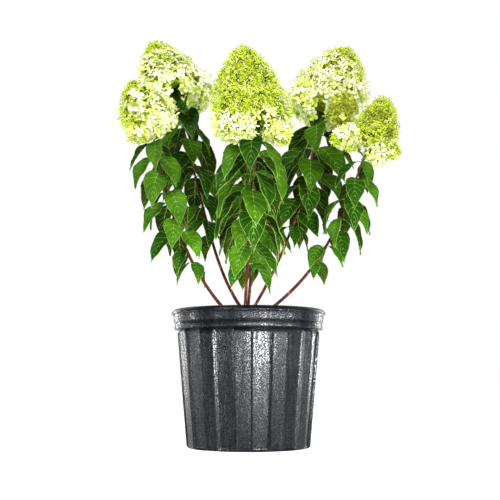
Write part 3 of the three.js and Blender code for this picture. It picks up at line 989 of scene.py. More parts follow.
@dataclass(frozen=True)
class LeafRule:
    """The rule by which every stem grows its leaves, as in the part's source."""

    at_node: int = 3
    growth: tuple[float, float, float] = (0.6, 1.3, -1.05)
    span: tuple[float, float] = (0.9, 1.08)
    tries: tuple[float, ...] = (0, 18, -18, 36, -36)
    spread: float = 12.5
    stalk_share: float = 0.154
    stalk_steps: int = 3
    stalk_rise: float = 40
    blade_steps: int = 14
    start: float = 31
    bow: float = 0.63
    droop: tuple[float, float] = (62, 91)
    roll: float = 35
    facing: float = 18
    width: float = 0.485
    base: float = 0.85
    point: float = 1.5
    fold: float = 0.2
    reach: float = 3.1
    step: float = 3
    rim: float = 249.3
    sides: tuple[float, ...] = (-0.9, -0.45, 0, 0.45, 0.9)
    search: float = 8

    def half_width(self, share: Array, length: float) -> Array:
        """Return a blade's half width.

        Args:
            share: Shares of the way from its root to its tip.
            length: The blade's length.

        Returns:
            Half widths in millimetres.
        """
        widest = self.base / (self.base + self.point)
        outline = share**self.base * (1 - share) ** self.point
        return 0.5 * self.width * length * outline / (widest**self.base * (1 - widest) ** self.point)

    def leaf(
        self, root: Array, azimuth: float, length: float, droop: float, roll: float, rank: float
    ) -> Leaf:
        """Lay out one leaf: its stalk rises and levels out, then its blade bows down to the tip.

        Args:
            root: Where it leaves the stem.
            azimuth: Its heading in degrees.
            length: The blade's length.
            droop: How far below level its tip points, in degrees.
            roll: How far it is rolled about its own line, in degrees.
            rank: Its place on the stem, from 0 low down to 1 at the top.

        Returns:
            The leaf.
        """
        turn = math.radians(azimuth)
        heading = np.array([math.cos(turn), math.sin(turn), 0])
        side = np.array([-math.sin(turn), math.cos(turn), 0])
        steps = np.arange(self.stalk_steps + self.blade_steps + 1)
        share = (steps - self.stalk_steps) / self.blade_steps
        rise = self.stalk_rise - (self.stalk_rise + self.start) * steps / self.stalk_steps
        fall = -self.start - (droop - self.start) * np.maximum(share, 0) ** self.bow
        slope = np.radians(np.where(share < 0, rise, fall))[:, None]
        along = heading * np.cos(slope) + np.array([0, 0, 1.0]) * np.sin(slope)
        rolled = math.radians(roll + self.facing * math.cos(turn))
        across = side * math.cos(rolled) + np.cross(along, side) * math.sin(rolled)
        stalk = self.stalk_share * length
        move = along * np.where(share < 0, stalk / self.stalk_steps, length / self.blade_steps)[:, None]
        points = root + np.vstack([np.zeros(3), np.cumsum(move, axis=0)[:-1]])
        return Leaf(points, across, np.cross(along, across), length, rank)

    def samples(self, leaf: Leaf) -> Array:
        """Say where a leaf is felt by its neighbours.

        Args:
            leaf: The leaf.

        Returns:
            A row of points across it at each step.
        """
        share = np.arange(self.blade_steps + 1) / self.blade_steps
        half = self.half_width(share, leaf.length)[:, None, None]
        sides = np.array(self.sides)[None, :, None]
        points, across, over = (a[self.stalk_steps :, None] for a in (leaf.points, leaf.across, leaf.over))
        spots = points + across * sides * half + over * self.fold * np.abs(sides) * half
        return spots.reshape(-1, 3)

    def limb_spots(self, stem: Stem, cones: Sequence[Cone]) -> tuple[list[Array], list[float]]:
        """Say where a stem and the branches of its head are felt.

        Args:
            stem: The stem.
            cones: The cones of its head.

        Returns:
            Points down the limbs, and how far each one is felt.
        """
        spots, reaches = [], []
        for k in range(math.ceil((stem.tip[2] - stem.foot_height) / self.step)):
            height = stem.foot_height + self.step * k
            spots.append(stem.point(height))
            reaches.append(stem.radius(height))
        for cone in cones:
            _, neck, inside = branch_path(stem, cone)
            count = math.ceil(np.linalg.norm(inside - neck) / self.step)
            spots += [neck + (inside - neck) * k / count for k in range(count)]
            reaches += [stem.tip_radius] * count
        return spots, reaches

    def grow(self) -> dict[str, list[Leaf]]:
        """Grow every stem's leaves in turn.

        A leaf that would touch a limb, a flower head or another leaf is turned a little, and left out if
        no turn clears it.

        Returns:
            The leaves of each stem, by its name.
        """
        limbs = [self.limb_spots(stem, HEADS[name]) for name, stem in STEMS.items()]
        taken = np.array([spot for spots, _ in limbs for spot in spots])
        reach = np.array([far for _, reaches in limbs for far in reaches])
        cones = [cone for head in HEADS.values() for cone in head]
        grown: dict[str, list[Leaf]] = {name: [] for name in STEMS}
        for name, stem in STEMS.items():
            draws = Draws(stem.seed)
            for node, height in enumerate(stem.nodes):
                rank = node / (len(stem.nodes) - 1)
                growth = self.growth[0] + self.growth[1] * rank + self.growth[2] * rank * rank
                for k in range(self.at_node):
                    azimuth = stem.phase + node * stem.twist + 360 * k / self.at_node
                    azimuth += self.spread * (2 * draws.next() - 1)
                    length = stem.leaf * growth * draws.between(*self.span)
                    droop = draws.between(*self.droop)
                    roll = self.roll * (2 * draws.next() - 1)
                    for turn in self.tries:
                        leaf = self.leaf(stem.point(height), azimuth + turn, length, droop, roll, rank)
                        samples = self.samples(leaf)
                        if self.is_free(samples, taken, reach, cones):
                            grown[name].append(leaf)
                            taken = np.vstack([taken, samples])
                            reach = np.append(reach, np.full(len(samples), self.reach))
                            break
        return grown

    def is_free(self, samples: Array, taken: Array, reach: Array, cones: Sequence[Cone]) -> bool:
        """Say whether a leaf clears the pot's rim, the flower heads, the limbs and the other leaves.

        Args:
            samples: The leaf's own points.
            taken: The points of what already grows.
            reach: How far each of those is felt.
            cones: All cones of blossom.

        Returns:
            Whether it touches nothing.
        """
        if (samples[:, 2] < self.rim).any():
            return False
        if any(cone.holds(samples, self.reach).any() for cone in cones):
            return False
        low, high = samples.min(0) - self.search, samples.max(0) + self.search
        near = ((taken > low) & (taken < high)).all(1)
        gaps = ((samples[:, None] - taken[near][None]) ** 2).sum(2)
        return not (gaps <= (reach[near] + self.reach) ** 2).any()


# Pot, mix and crown


@dataclass(frozen=True)
class Pot:
    """The fluted pot, under a rim of two bands and a rolled lip."""

    flutes: int = 12
    flute_depth: float = 5.0
    flute_turn: float = -4.4
    flute_edges: tuple[float, float, float, float] = (6.2, 8.0, 22.0, 23.8)
    bevel: tuple[float, float, float] = (-0.5, 0, 0.5)
    flatness: float = 0.8
    height: float = 244.3
    base: float = 110.5
    body_top_radius: float = 129.2
    body_top: float = 205
    lip: float = 139.8
    wall: float = 2
    floor: float = 3
    soil_edge: float = 210.5
    drain_holes: int = 6
    drain_radius: float = 8
    drain_ring: float = 82
    drain_sides: int = 24
    corner_share: float = 0.22
    corner_reach: float = 3.0
    foot_fade: tuple[float, float] = (0.5, 3)
    top_fade: tuple[float, float] = (-4, 1)
    smooth_angle: float = 38
    steps: int = 720

    def body_radius(self, height: float) -> float:
        """Return the ribs' radius at a height."""
        return self.base + (self.body_top_radius - self.base) * height / self.body_top

    def inner_radius(self, height: float) -> float:
        """Return the bore's radius at a height."""
        return self.body_radius(height) - self.flute_depth - self.wall

    @property
    def rim_wall(self) -> float:
        """Return the bore's radius behind the rim."""
        return self.lip - 10

    def profile(self) -> list[tuple[float, float]]:
        """Draw the wall's profile, with its corners rounded off.

        Returns:
            Radius and height of each point, from the underside's middle to the floor's.
        """
        lip, top, body, inner = self.lip, self.body_top, self.body_radius, self.inner_radius
        points = [
            (0, 0), (self.base - 12, 0), (self.base - 3, 0), (body(2), 2.5), (body(8), 8),
            (body(100), 100), (body(top - 6), top - 6), (body(top) - 1.2, top - 1.5),
            (body(top) - self.flute_depth, top + 1.5), (lip - 6.6, 207.6), (lip - 5.7, 209),
            (lip - 5.7, 217), (lip - 7.4, 218.4), (lip - 7.4, 219.8), (lip - 4.6, 221),
            (lip - 3.8, 234), (lip - 0.6, 235), (lip, 237.4), (lip - 2.4, 241.2),
            (lip - 7.4, self.height), (self.rim_wall - 0.6, self.height - 0.8),
            (self.rim_wall, self.height - 6), (self.rim_wall, self.soil_edge - 0.5), (inner(top), top + 1),
            (inner(self.floor), 5), (inner(self.floor) - 2, self.floor), (0, self.floor),
        ]
        rounded = [points[0]]
        for (r0, z0), (r1, z1) in zip(points, points[1:]):
            share = min(self.corner_share, self.corner_reach / max(math.hypot(r1 - r0, z1 - z0), 1))
            rounded += [(r0 + (r1 - r0) * s, z0 + (z1 - z0) * s) for s in (share, 1 - share)]
        return [*rounded, points[-1]]

    def fluted(self, corners: Array) -> Array:
        """Draw the skin in between the ribs, on the outside of the body.

        Args:
            corners: The plain wall's corners.

        Returns:
            The fluted wall's corners.
        """
        radius = np.hypot(corners[:, 0], corners[:, 1])
        height = corners[:, 2]
        turn = np.degrees(np.arctan2(corners[:, 0], -corners[:, 1])) - self.flute_turn
        pitch = 360 / self.flutes
        half = self.flute_edges[0]
        place = (turn + half) % pitch - half
        bevel = [np.interp(place + step, self.flute_edges, (0, 1, 1, 0)) for step in self.bevel]
        from_middle = np.minimum(np.abs(place), np.abs(place - pitch / 2))
        sag = 1 - math.cos(math.radians(half)) / np.cos(np.radians(np.minimum(from_middle, half)))
        start, end = (self.body_top + step for step in self.top_fade)
        fade = smoothstep(*self.foot_fade, height) * (1 - smoothstep(start, end, height))
        is_outside = radius > self.body_radius(height) - self.flute_depth + 0.2
        is_body = is_outside & (height > 1) & (height < self.body_top - 1)
        inset = np.where(is_outside, np.mean(bevel, axis=0) * fade * self.flute_depth, 0)
        inset += np.where(is_body, self.flatness * sag * radius, 0)
        scale = (radius - inset) / np.maximum(radius, 1e-6)
        return corners * np.stack([scale, scale, np.ones_like(scale)], -1)

    def drain(self, piece: bpy.types.Object) -> None:
        """Cut the drain holes.

        Args:
            piece: The pot's shell.
        """
        for k in range(self.drain_holes):
            turn = 2 * math.pi * (k + 0.5) / self.drain_holes
            spot = (self.drain_ring * math.sin(turn), -self.drain_ring * math.cos(turn), self.floor)
            bpy.ops.object.select_all(action="DESELECT")
            bpy.ops.mesh.primitive_cylinder_add(
                vertices=self.drain_sides,
                radius=self.drain_radius * MM,
                depth=4 * self.floor * MM,
                location=[size * MM for size in spot],
            )
            drill = bpy.context.object
            bpy.ops.object.select_all(action="DESELECT")
            bpy.context.view_layer.objects.active = piece
            cut = piece.modifiers.new("drain", "BOOLEAN")
            cut.object = drill
            cut.operation = "DIFFERENCE"
            bpy.ops.object.modifier_apply(modifier=cut.name)
            bpy.data.objects.remove(drill)

    def build(self) -> None:
        """Spin the wall, flute it and cut its drain holes."""
        piece = Workshop.spun(self.profile(), self.steps)
        Workshop.move_corners(piece, self.fluted(Workshop.corners(piece)))
        self.drain(piece)
        bpy.ops.object.select_all(action="DESELECT")
        piece.select_set(True)
        bpy.ops.object.shade_smooth_by_angle(angle=math.radians(self.smooth_angle))
        Workshop.settle(piece, "pot_shell", PotPlastic(), ["pot"])


@dataclass(frozen=True)
class Mix:
    """Potting mix in the pot, with chips and pale grains strewn on it."""

    pot: Pot
    middle: float = 212
    gap: float = 0.4
    chips: int = 1500
    chip_sizes: tuple[float, float] = (1.2, 4.6)
    chip_build: tuple[float, float, float] = (1, 0.55, 0.3)
    chip_seed: int = 31
    grains: int = 260
    grain_sizes: tuple[float, float] = (0.8, 1.9)
    grain_build: tuple[float, float, float] = (1, 0.85, 0.7)
    grain_seed: int = 47
    bump: float = 1.1
    rings: int = 12
    ring_span: tuple[float, float] = (0.94, 0.06)
    steps: int = 96
    margin: float = 6
    lying: float = 0.35

    def bumps(self, spots: Array) -> Array:
        """Work out the mix's uneven face.

        Args:
            spots: Places on it.

        Returns:
            How far it stands up at each.
        """
        x, y = spots[:, 0], spots[:, 1]
        broad = np.sin(0.31 * x + 1.7) * np.sin(0.27 * y)
        fine = np.sin(0.71 * x - 0.4 * y) * np.sin(0.83 * y + 2)
        return self.bump * (broad + 0.6 * fine)

    def build(self) -> None:
        """Build the body of the mix, its chips and its grains."""
        pot, edge = self.pot, self.pot.rim_wall - 2 * GAP
        mound = self.middle - pot.soil_edge
        rings = [1, *np.linspace(*self.ring_span, self.rings)]
        foot = pot.inner_radius(pot.floor)
        profile = [
            (0, pot.floor + GAP), (foot - 2.5, pot.floor + GAP), (foot - self.gap, pot.floor + 2.4),
            (pot.inner_radius(pot.body_top) - self.gap, pot.body_top + 1),
            *[(edge * share, pot.soil_edge + mound * (1 - share)) for share in rings], (0, self.middle),
        ]
        piece = Workshop.spun(profile, self.steps)
        corners = Workshop.corners(piece)
        inside = np.hypot(corners[:, 0], corners[:, 1]) < edge - 2
        is_top = (corners[:, 2] > pot.body_top + 3) & inside
        corners[:, 2] += np.where(is_top, self.bumps(corners), 0)
        Workshop.move_corners(piece, corners)
        Workshop.settle(piece, "potting_mix", Loose("mix"), ["soil"])
        dark = Loose("chips", light=(0.13, 0.045, 0.028))
        self.strew("mix_chips", self.chips, self.chip_sizes, self.chip_build, dark, self.chip_seed)
        pale = Loose("grains", dark=(0.42, 0.38, 0.34), light=(0.78, 0.74, 0.68))
        self.strew("mix_grains", self.grains, self.grain_sizes, self.grain_build, pale, self.grain_seed)

    def strew(
        self,
        name: str,
        count: int,
        span: tuple[float, float],
        build: tuple[float, float, float],
        finish: Loose,
        seed: int,
    ) -> None:
        """Strew small lumps over the mix.

        Args:
            name: The piece's name.
            count: How many lumps.
            span: Their smallest and largest size.
            build: Their proportions.
            finish: Their finish.
            seed: The seed of their places.
        """
        draws = Draws(seed)
        far = self.pot.rim_wall - self.margin
        places, turns, sizes = [], [], []
        for _ in range(count):
            radius, turn = far * math.sqrt(draws.next()), 2 * math.pi * draws.next()
            spot = np.array([[radius * math.cos(turn), radius * math.sin(turn), 0]])
            rise = self.pot.soil_edge + (self.middle - self.pot.soil_edge) * (1 - radius / far)
            places.append([spot[0, 0], spot[0, 1], rise + self.bumps(spot)[0] + GAP])
            first = unit(draws.direction() * np.array([1, 1, self.lying]))
            second = unit(np.cross(first, draws.direction()))
            turns.append(np.stack([first, second, np.cross(first, second)], -1))
            sizes.append(draws.between(*span))
        pile = Pile()
        pile.scatter(bead(build), np.array(places), np.array(turns), np.array(sizes))
        pile.piece(name, finish)


def bead(build: tuple[float, float, float] = (1, 1, 1)) -> Shape:
    """Make an eight-faced bead about its origin.

    Args:
        build: Its proportions.

    Returns:
        The bead.
    """
    corners = np.array([[1, 0, 0], [0, 1, 0], [-1, 0, 0], [0, -1, 0], [0, 0, 1], [0, 0, -1]], float)
    around = np.arange(4)
    upper = np.stack([around, (around + 1) % 4, np.full(4, 4)], -1)
    lower = np.stack([(around + 1) % 4, around, np.full(4, 5)], -1)
    return Shape(corners * np.array(build), np.empty((0, 4), int), np.concatenate([upper, lower]))


@dataclass(frozen=True)
class Crown:
    """The knobbly woody stub that the stems rise from."""

    radius: float = 19
    foot: float = 202
    top: float = 234
    waist: float = 0.8
    shoulder: float = 0.3
    dome: tuple[float, float] = (0.15, 1.4)
    dome_rings: int = 9
    dome_bend: float = 0.8
    steps: int = 48
    knobs: tuple[tuple[float, ...], ...] = ((0.09, 3, 1, 0), (0.05, 5, 0, 0), (0.03, 11, 0, 0.4))
    ridge: float = 0.6
    ridge_from: float = 12

    def build(self) -> None:
        """Build the crown as a lumpy turned stub."""
        height = self.top - self.foot
        dome = []
        for turn in np.linspace(*self.dome, self.dome_rings):
            share = self.shoulder + (1 - self.shoulder) * math.sin(turn)
            dome.append((self.radius * math.cos(turn) ** self.dome_bend, share))
        profile = [
            (0, self.foot), (self.radius * self.waist, self.foot),
            (self.radius, self.foot + self.shoulder * height),
            *[(radius, self.foot + height * share) for radius, share in dome], (0, self.top),
        ]
        piece = Workshop.spun(profile, self.steps)
        corners = Workshop.corners(piece)
        x, y, z = corners.T
        turn = np.arctan2(x, -y)
        knob = 1 + sum(
            size * np.sin(lobes * turn + start + twist * z) for size, lobes, start, twist in self.knobs
        )
        ridge = self.ridge * np.sin(0.9 * x) * np.sin(1.1 * y + 1)
        rise = np.where(z > self.foot + self.ridge_from, ridge, 0)
        Workshop.move_corners(piece, np.stack([x * knob, y * knob, z + rise], -1))
        piece.data.shade_smooth()
        bark = Bark("crown_bark", dark=(0.05, 0.02, 0.012), light=(0.22, 0.11, 0.06))
        Workshop.settle(piece, "woody_crown", bark, ["crown"])


@dataclass(frozen=True)
class Stalks:
    """The stems, in bark with swollen joints and fibres in relief."""

    start: float = 216
    sides: int = 14
    ring_step: float = 2.6
    joint: float = 0.24
    joint_reach: float = 3.2
    fibre: float = 0.05
    woody: float = 0.72
    tip_rise: float = 0.2
    fewest_rings: int = 4

    def build(self) -> None:
        """Build each stem's bare foot, and the leafy stretch above it."""
        green = Skin("young_bark", (0.055, 0.035, 0.010), (0.13, 0.085, 0.022), roughness=0.45)
        for name, stem in STEMS.items():
            top = stem.tip[2]
            middle = stem.bare_to + self.woody * (top - stem.bare_to)
            self.stretch(f"bark_{name}", stem, self.start, stem.bare_to, Bark("bark"), [f"stem_{name}"])
            self.stretch(f"twig_{name}", stem, stem.bare_to, middle, Bark("twig_bark", slot="leaf"), [])
            self.stretch(f"shoot_{name}", stem, middle, top + self.tip_rise, green, [])

    def stretch(
        self, name: str, stem: Stem, low: float, high: float, finish: Finish, nodes: list[str]
    ) -> None:
        """Shape a stretch of stem from a subdivided cylinder.

        Args:
            name: The piece's name.
            stem: The stem.
            low: The height of its lower end.
            high: The height of its upper end.
            finish: Its finish.
            nodes: The frame's nodes that it stands for.
        """
        rings = max(self.fewest_rings, round((high - low) / self.ring_step))
        piece = Workshop.rod(self.sides, rings)
        corners = Workshop.corners(piece)
        turn = np.arctan2(corners[:, 1], corners[:, 0])
        height = low + (high - low) * corners[:, 2]
        middle = np.array([stem.point(min(z, stem.tip[2])) for z in height])
        below = np.array([stem.point(min(z, stem.tip[2]) - 1) for z in height])
        along = unit(middle - below)
        across = unit(np.cross(along, np.array([0.2, 1.0, 0.1])))
        over = np.cross(along, across)
        radius = np.array([stem.radius(z) for z in height])
        for node in stem.nodes:
            radius = radius * (1 + self.joint * np.exp(-(((height - node) / self.joint_reach) ** 2)))
        fibres = np.sin(5 * turn + 0.05 * height) * np.sin(3 * turn - 0.11 * height + stem.seed)
        radius = radius * (1 + self.fibre * fibres)
        spots = middle + (radius * np.cos(turn))[:, None] * across + (radius * np.sin(turn))[:, None] * over
        Workshop.move_corners(piece, spots)
        Workshop.edit(piece)
        bpy.ops.mesh.normals_make_consistent(inside=False)
        Workshop.leave()
        piece.data.shade_smooth()
        Workshop.settle(piece, name, finish, nodes)


# Leaves


@dataclass(frozen=True)
class Foliage:
    """Every leaf as a quilted blade with a back darkened by painted shade, a stalk, a midrib and arching side
    veins.
    """

    rule: LeafRule
    side_veins: int = 7
    rows_a_cell: int = 3
    columns: int = 11
    thickness: float = 0.42
    back_gap: float = 0.15
    back_tuck: float = 0.1
    lag: float = 0.35
    quilt: float = 0.026
    fold: float = 0.33
    wave: float = 0.022
    waves: float = 2.2
    tooth: float = 0.035
    stalk_radius: float = 1.25
    midrib_radius: float = 0.95
    vein_radius: float = 0.48
    rib_steps: int = 18
    # The edge rods are a painted highlight along the leaf's rim.
    edge_highlight_steps: int = 17
    edge_highlight_radius: float = 0.38
    vein_span: tuple[float, float] = (0.02, 0.88)
    vein_steps: int = 8
    vein_sides: int = 4
    vein_tip: float = 0.28
    vein_rise: float = 0.8
    back_vein_rise: float = 0.9
    back_vein_share: float = 0.6
    back_vein_sides: int = 3
    rib_span: tuple[float, float] = (0.02, 0.97)
    rib_tip: float = 0.32
    rib_sides: int = 6
    edge_highlight_span: tuple[float, float] = (0.03, 0.98)
    usual_length: float = 95
    # Odds of the lit green: a start, a rise with the leaf's height on its stem, and a limit. This is painted
    # light, as higher leaves look more lit.
    lit_odds: tuple[float, float, float] = (0.3, 0.4, 0.95)

    @property
    def cells(self) -> int:
        """Return how many cells the side veins part a blade into."""
        return self.side_veins + 1

    def blade(self, leaf: Leaf, row: Array, side: Array, phase: float) -> tuple[Array, Array]:
        """Return points on a blade and the way out of its upper face there.

        Args:
            leaf: The leaf.
            row: Places along the midrib, from 0 to 1, whose rows arch forward as the side veins do.
            side: Places across, from -1 to 1, of the same shape as row.
            phase: Where the wave of its edge starts.

        Returns:
            Points and directions.
        """
        out = np.abs(side)
        arch = out**1.15 * np.minimum(1, 2 * row) * np.minimum(1, 2.5 * (1 - row))
        share = row + self.lag * arch
        steps = self.rule.stalk_steps
        points, across, over = (
            flowing(a[steps:], share.ravel()).reshape(*share.shape, 3)
            for a in (leaf.points, leaf.across, leaf.over)
        )
        half = self.rule.half_width(share, leaf.length)
        bulge = np.abs(np.sin(math.pi * row * self.cells)) ** 0.8 - 0.5
        room = np.minimum(1, 4 * out) * (1 - out**4) * np.minimum(1, 5 * (1 - row))
        swing = np.sin(2 * math.pi * (self.waves * share + phase + 0.25 * np.sign(side)))
        lift = self.fold * out * half
        lift += leaf.length * (self.quilt * bulge * room + self.wave * out**3 * swing)
        return points + across * (side * half)[..., None] + over * lift[..., None], over

    def build(self) -> None:
        """Build the leaves of every stem, and the bracts under its flower heads."""
        for name, leaves in self.rule.grow().items():
            draws = Draws(STEMS[name].seed + 1)
            faces, backs, veins = [Pile() for _ in LEAF_SHADED_AND_LIT_FACES], Pile(), Pile()
            for cone in HEADS[name]:
                low, along, length, _, _ = cone.frame
                for share, *shape in cone.bracts:
                    leaves.append(self.rule.leaf(low + share * length * along, *shape, 0))
            for leaf in leaves:
                phase = draws.next()
                # Painted light: leaves high on the stem get the lit green more often.
                base, lit_by_rank, limit = self.lit_odds
                lit_choice = int(draws.next() + base + lit_by_rank * leaf.rank > limit)
                self.skin(leaf, phase, faces[lit_choice], backs)
                self.veins(leaf, phase, veins)
            nodes = [f"foliage_{name}"]
            for pile, finish in zip(faces, LEAF_SHADED_AND_LIT_FACES):
                pile.piece(f"{finish.name}_{name}", finish, nodes)
            backs.piece(f"{LEAF_BACK.name}_{name}", LEAF_BACK, nodes)
            veins.piece(f"{VEIN.name}_{name}", VEIN, nodes)

    def skin(self, leaf: Leaf, phase: float, faces: Pile, backs: Pile) -> None:
        """Add a leaf's upper face and its back.

        Args:
            leaf: The leaf.
            phase: Where the wave of its edge starts.
            faces: The pile of upper faces.
            backs: The pile of backs.
        """
        rows = self.rows_a_cell * self.cells - 1
        row, side = np.meshgrid(
            np.arange(1, rows + 1) / (rows + 1), np.linspace(-1, 1, self.columns), indexing="ij"
        )
        teeth = 1 + self.tooth * np.where(np.arange(rows) % 2, 1, -1)[:, None] * (np.abs(side) == 1)
        spots, over = self.blade(leaf, row, side * teeth, phase)
        ends, end_over = self.blade(leaf, np.array([0.0, 1.0]), np.zeros(2), phase)
        inner = np.ones((rows, self.columns, 1))
        inner[:, [0, -1]] = 0
        step = self.thickness * over
        faces.add(lens(*ends, spots + inner * step, spots))
        # The back takes the dark green of painted shade.
        under = ends - self.back_gap * self.thickness * end_over
        backs.add(lens(*under, spots - (self.back_gap - self.back_tuck * inner) * step, spots - step))

    def veins(self, leaf: Leaf, phase: float, veins: Pile) -> None:
        """Add a leaf's stalk and midrib, its side veins on both faces, and a pale rod along each edge, a
        painted highlight on its rim.

        Args:
            leaf: The leaf.
            phase: Where the wave of its edge starts.
            veins: The pile of veins.
        """
        size = leaf.length / self.usual_length
        stalk = leaf.points[: self.rule.stalk_steps + 1]
        rib_places = np.linspace(*self.rib_span, self.rib_steps)
        rib, _ = self.blade(leaf, rib_places, np.zeros(self.rib_steps), phase)
        thick = np.linspace(self.midrib_radius, self.rib_tip, self.rib_steps)
        radii = np.append(np.linspace(self.stalk_radius, self.midrib_radius, len(stalk)), thick)
        veins.add(rod(np.concatenate([stalk, rib]), radii * size, self.rib_sides))
        out = np.linspace(*self.vein_span, self.vein_steps)
        radii = np.linspace(self.vein_radius, self.vein_tip, self.vein_steps) * size
        for k in range(1, self.cells):
            for hand in (-1, 1):
                line, over = self.blade(leaf, np.full(self.vein_steps, k / self.cells), hand * out, phase)
                step = self.thickness * over
                veins.add(rod(line + self.vein_rise * step, radii, self.vein_sides))
                back = (line - self.back_vein_rise * step)[::2]
                veins.add(rod(back, self.back_vein_share * radii[::2], self.back_vein_sides))
        # Painted highlight: a pale rod along each edge, in the veins' tone.
        place = np.linspace(*self.edge_highlight_span, self.edge_highlight_steps)
        for hand in (-1, 1):
            line, _ = self.blade(leaf, place, np.full(self.edge_highlight_steps, hand * 1.0), phase)
            veins.add(rod(line, np.full(self.edge_highlight_steps, self.edge_highlight_radius) * size, self.vein_sides))


# Flower heads


@dataclass(frozen=True)
class Floret:
    """A kind of floret: four petals about one unit long, each a thin closed blade of a few faces."""

    is_broad: bool = True
    density: float = 0.66
    tilt: float = 0.75
    places: tuple[float, ...] = (0.28, 0.62, 0.88)
    halves: tuple[float, ...] = (0.34, 0.46, 0.30)
    cup: float = 0.16
    thickness: float = 0.04
    petals: int = 4
    lift: tuple[float, float] = (-0.1, 0.06)
    heart: float = 0.04
    edge_lift: float = 0.5
    tip_lift: float = 0.75

    @property
    def shape(self) -> Shape:
        """Make the floret, one unit in radius, facing up its own third axis.

        Returns:
            The floret.
        """
        corners, quads, triangles = [], [], []
        up = np.array([0, 0, 1.0])
        place, half = (np.array(sizes)[:, None, None] for sizes in (self.places, self.halves))
        out = np.array([-1, 0, 1])[None, :, None]
        for k in range(self.petals):
            turn = 2 * math.pi * k / self.petals
            along = np.array([math.cos(turn), math.sin(turn), 0])
            side = np.array([-math.sin(turn), math.cos(turn), 0])
            lift = self.lift[0] + self.lift[1] * (k % 2)
            rise = lift + self.cup * (place**2 + self.edge_lift * np.abs(out))
            upper = along * place + side * half * out + up * rise
            start, tip = self.heart * along + lift * up, along + up * (lift + self.tip_lift * self.cup)
            blade = lens(start, tip, upper, upper - self.thickness * up)
            first = sum(len(block) for block in corners)
            corners.append(blade.corners)
            quads.append(blade.quads + first)
            triangles.append(blade.triangles + first)
        return Shape(np.concatenate(corners), np.concatenate(quads), np.concatenate(triangles))


BROAD = Floret()
LONG = Floret(density=0.74, tilt=0.9, halves=(0.20, 0.27, 0.17), cup=0.05)
CUPPED = Floret(halves=(0.38, 0.50, 0.36), cup=0.30)
FINE = Floret(is_broad=False, density=0.44, tilt=1.0, places=(0.55,), halves=(0.34,), thickness=0.08)
FINE_SIZE = 4.8


class Layer(Enum):
    """The depths of a head's flowers: the share of its full radius, and how thickly it is sown."""

    OUTER = (1.0, 1.0)
    MIDDLE = (0.84, 1.0)
    # The deepest layer is all in the dark tone of painted shade.
    DEEP_SHADE = (0.66, 0.8)

    @property
    def scale(self) -> float:
        """Return the share of the head's full radius."""
        return self.value[0]

    @property
    def density(self) -> float:
        """Return how thickly it is sown."""
        return self.value[1]


class Spray:
    """The flowers of one stem's head, gathered by tone."""

    def __init__(self) -> None:
        """Start with none."""
        self.petals = {tone: Pile() for tone in Tone}
        self.stalks = Pile()
        self.batches: dict[tuple[Tone, int], list[tuple[Array, Array, float]]] = {}
        self.shapes: list[Shape] = []

    def shape(self, shape: Shape) -> int:
        """Keep a shape for later use, and return its number."""
        self.shapes.append(shape)
        return len(self.shapes) - 1

    def put(self, tone: Tone, number: int, place: Array, matrix: Array, size: float) -> None:
        """Put one copy of a kept shape."""
        self.batches.setdefault((tone, number), []).append((place, matrix, size))

    def pieces(self, name: str) -> None:
        """Join what was put into one piece for each tone.

        Args:
            name: The stem's name.
        """
        for (tone, number), batch in self.batches.items():
            places, turns, sizes = (np.array(column) for column in zip(*batch))
            self.petals[tone].scatter(self.shapes[number], places, turns, sizes)
        nodes = [f"panicle_{name}"]
        for tone, pile in self.petals.items():
            pile.piece(f"{tone.value.name}_{name}", tone.value, nodes)
        self.stalks.piece(f"{FLOWER_STALK.name}_{name}", FLOWER_STALK, nodes)


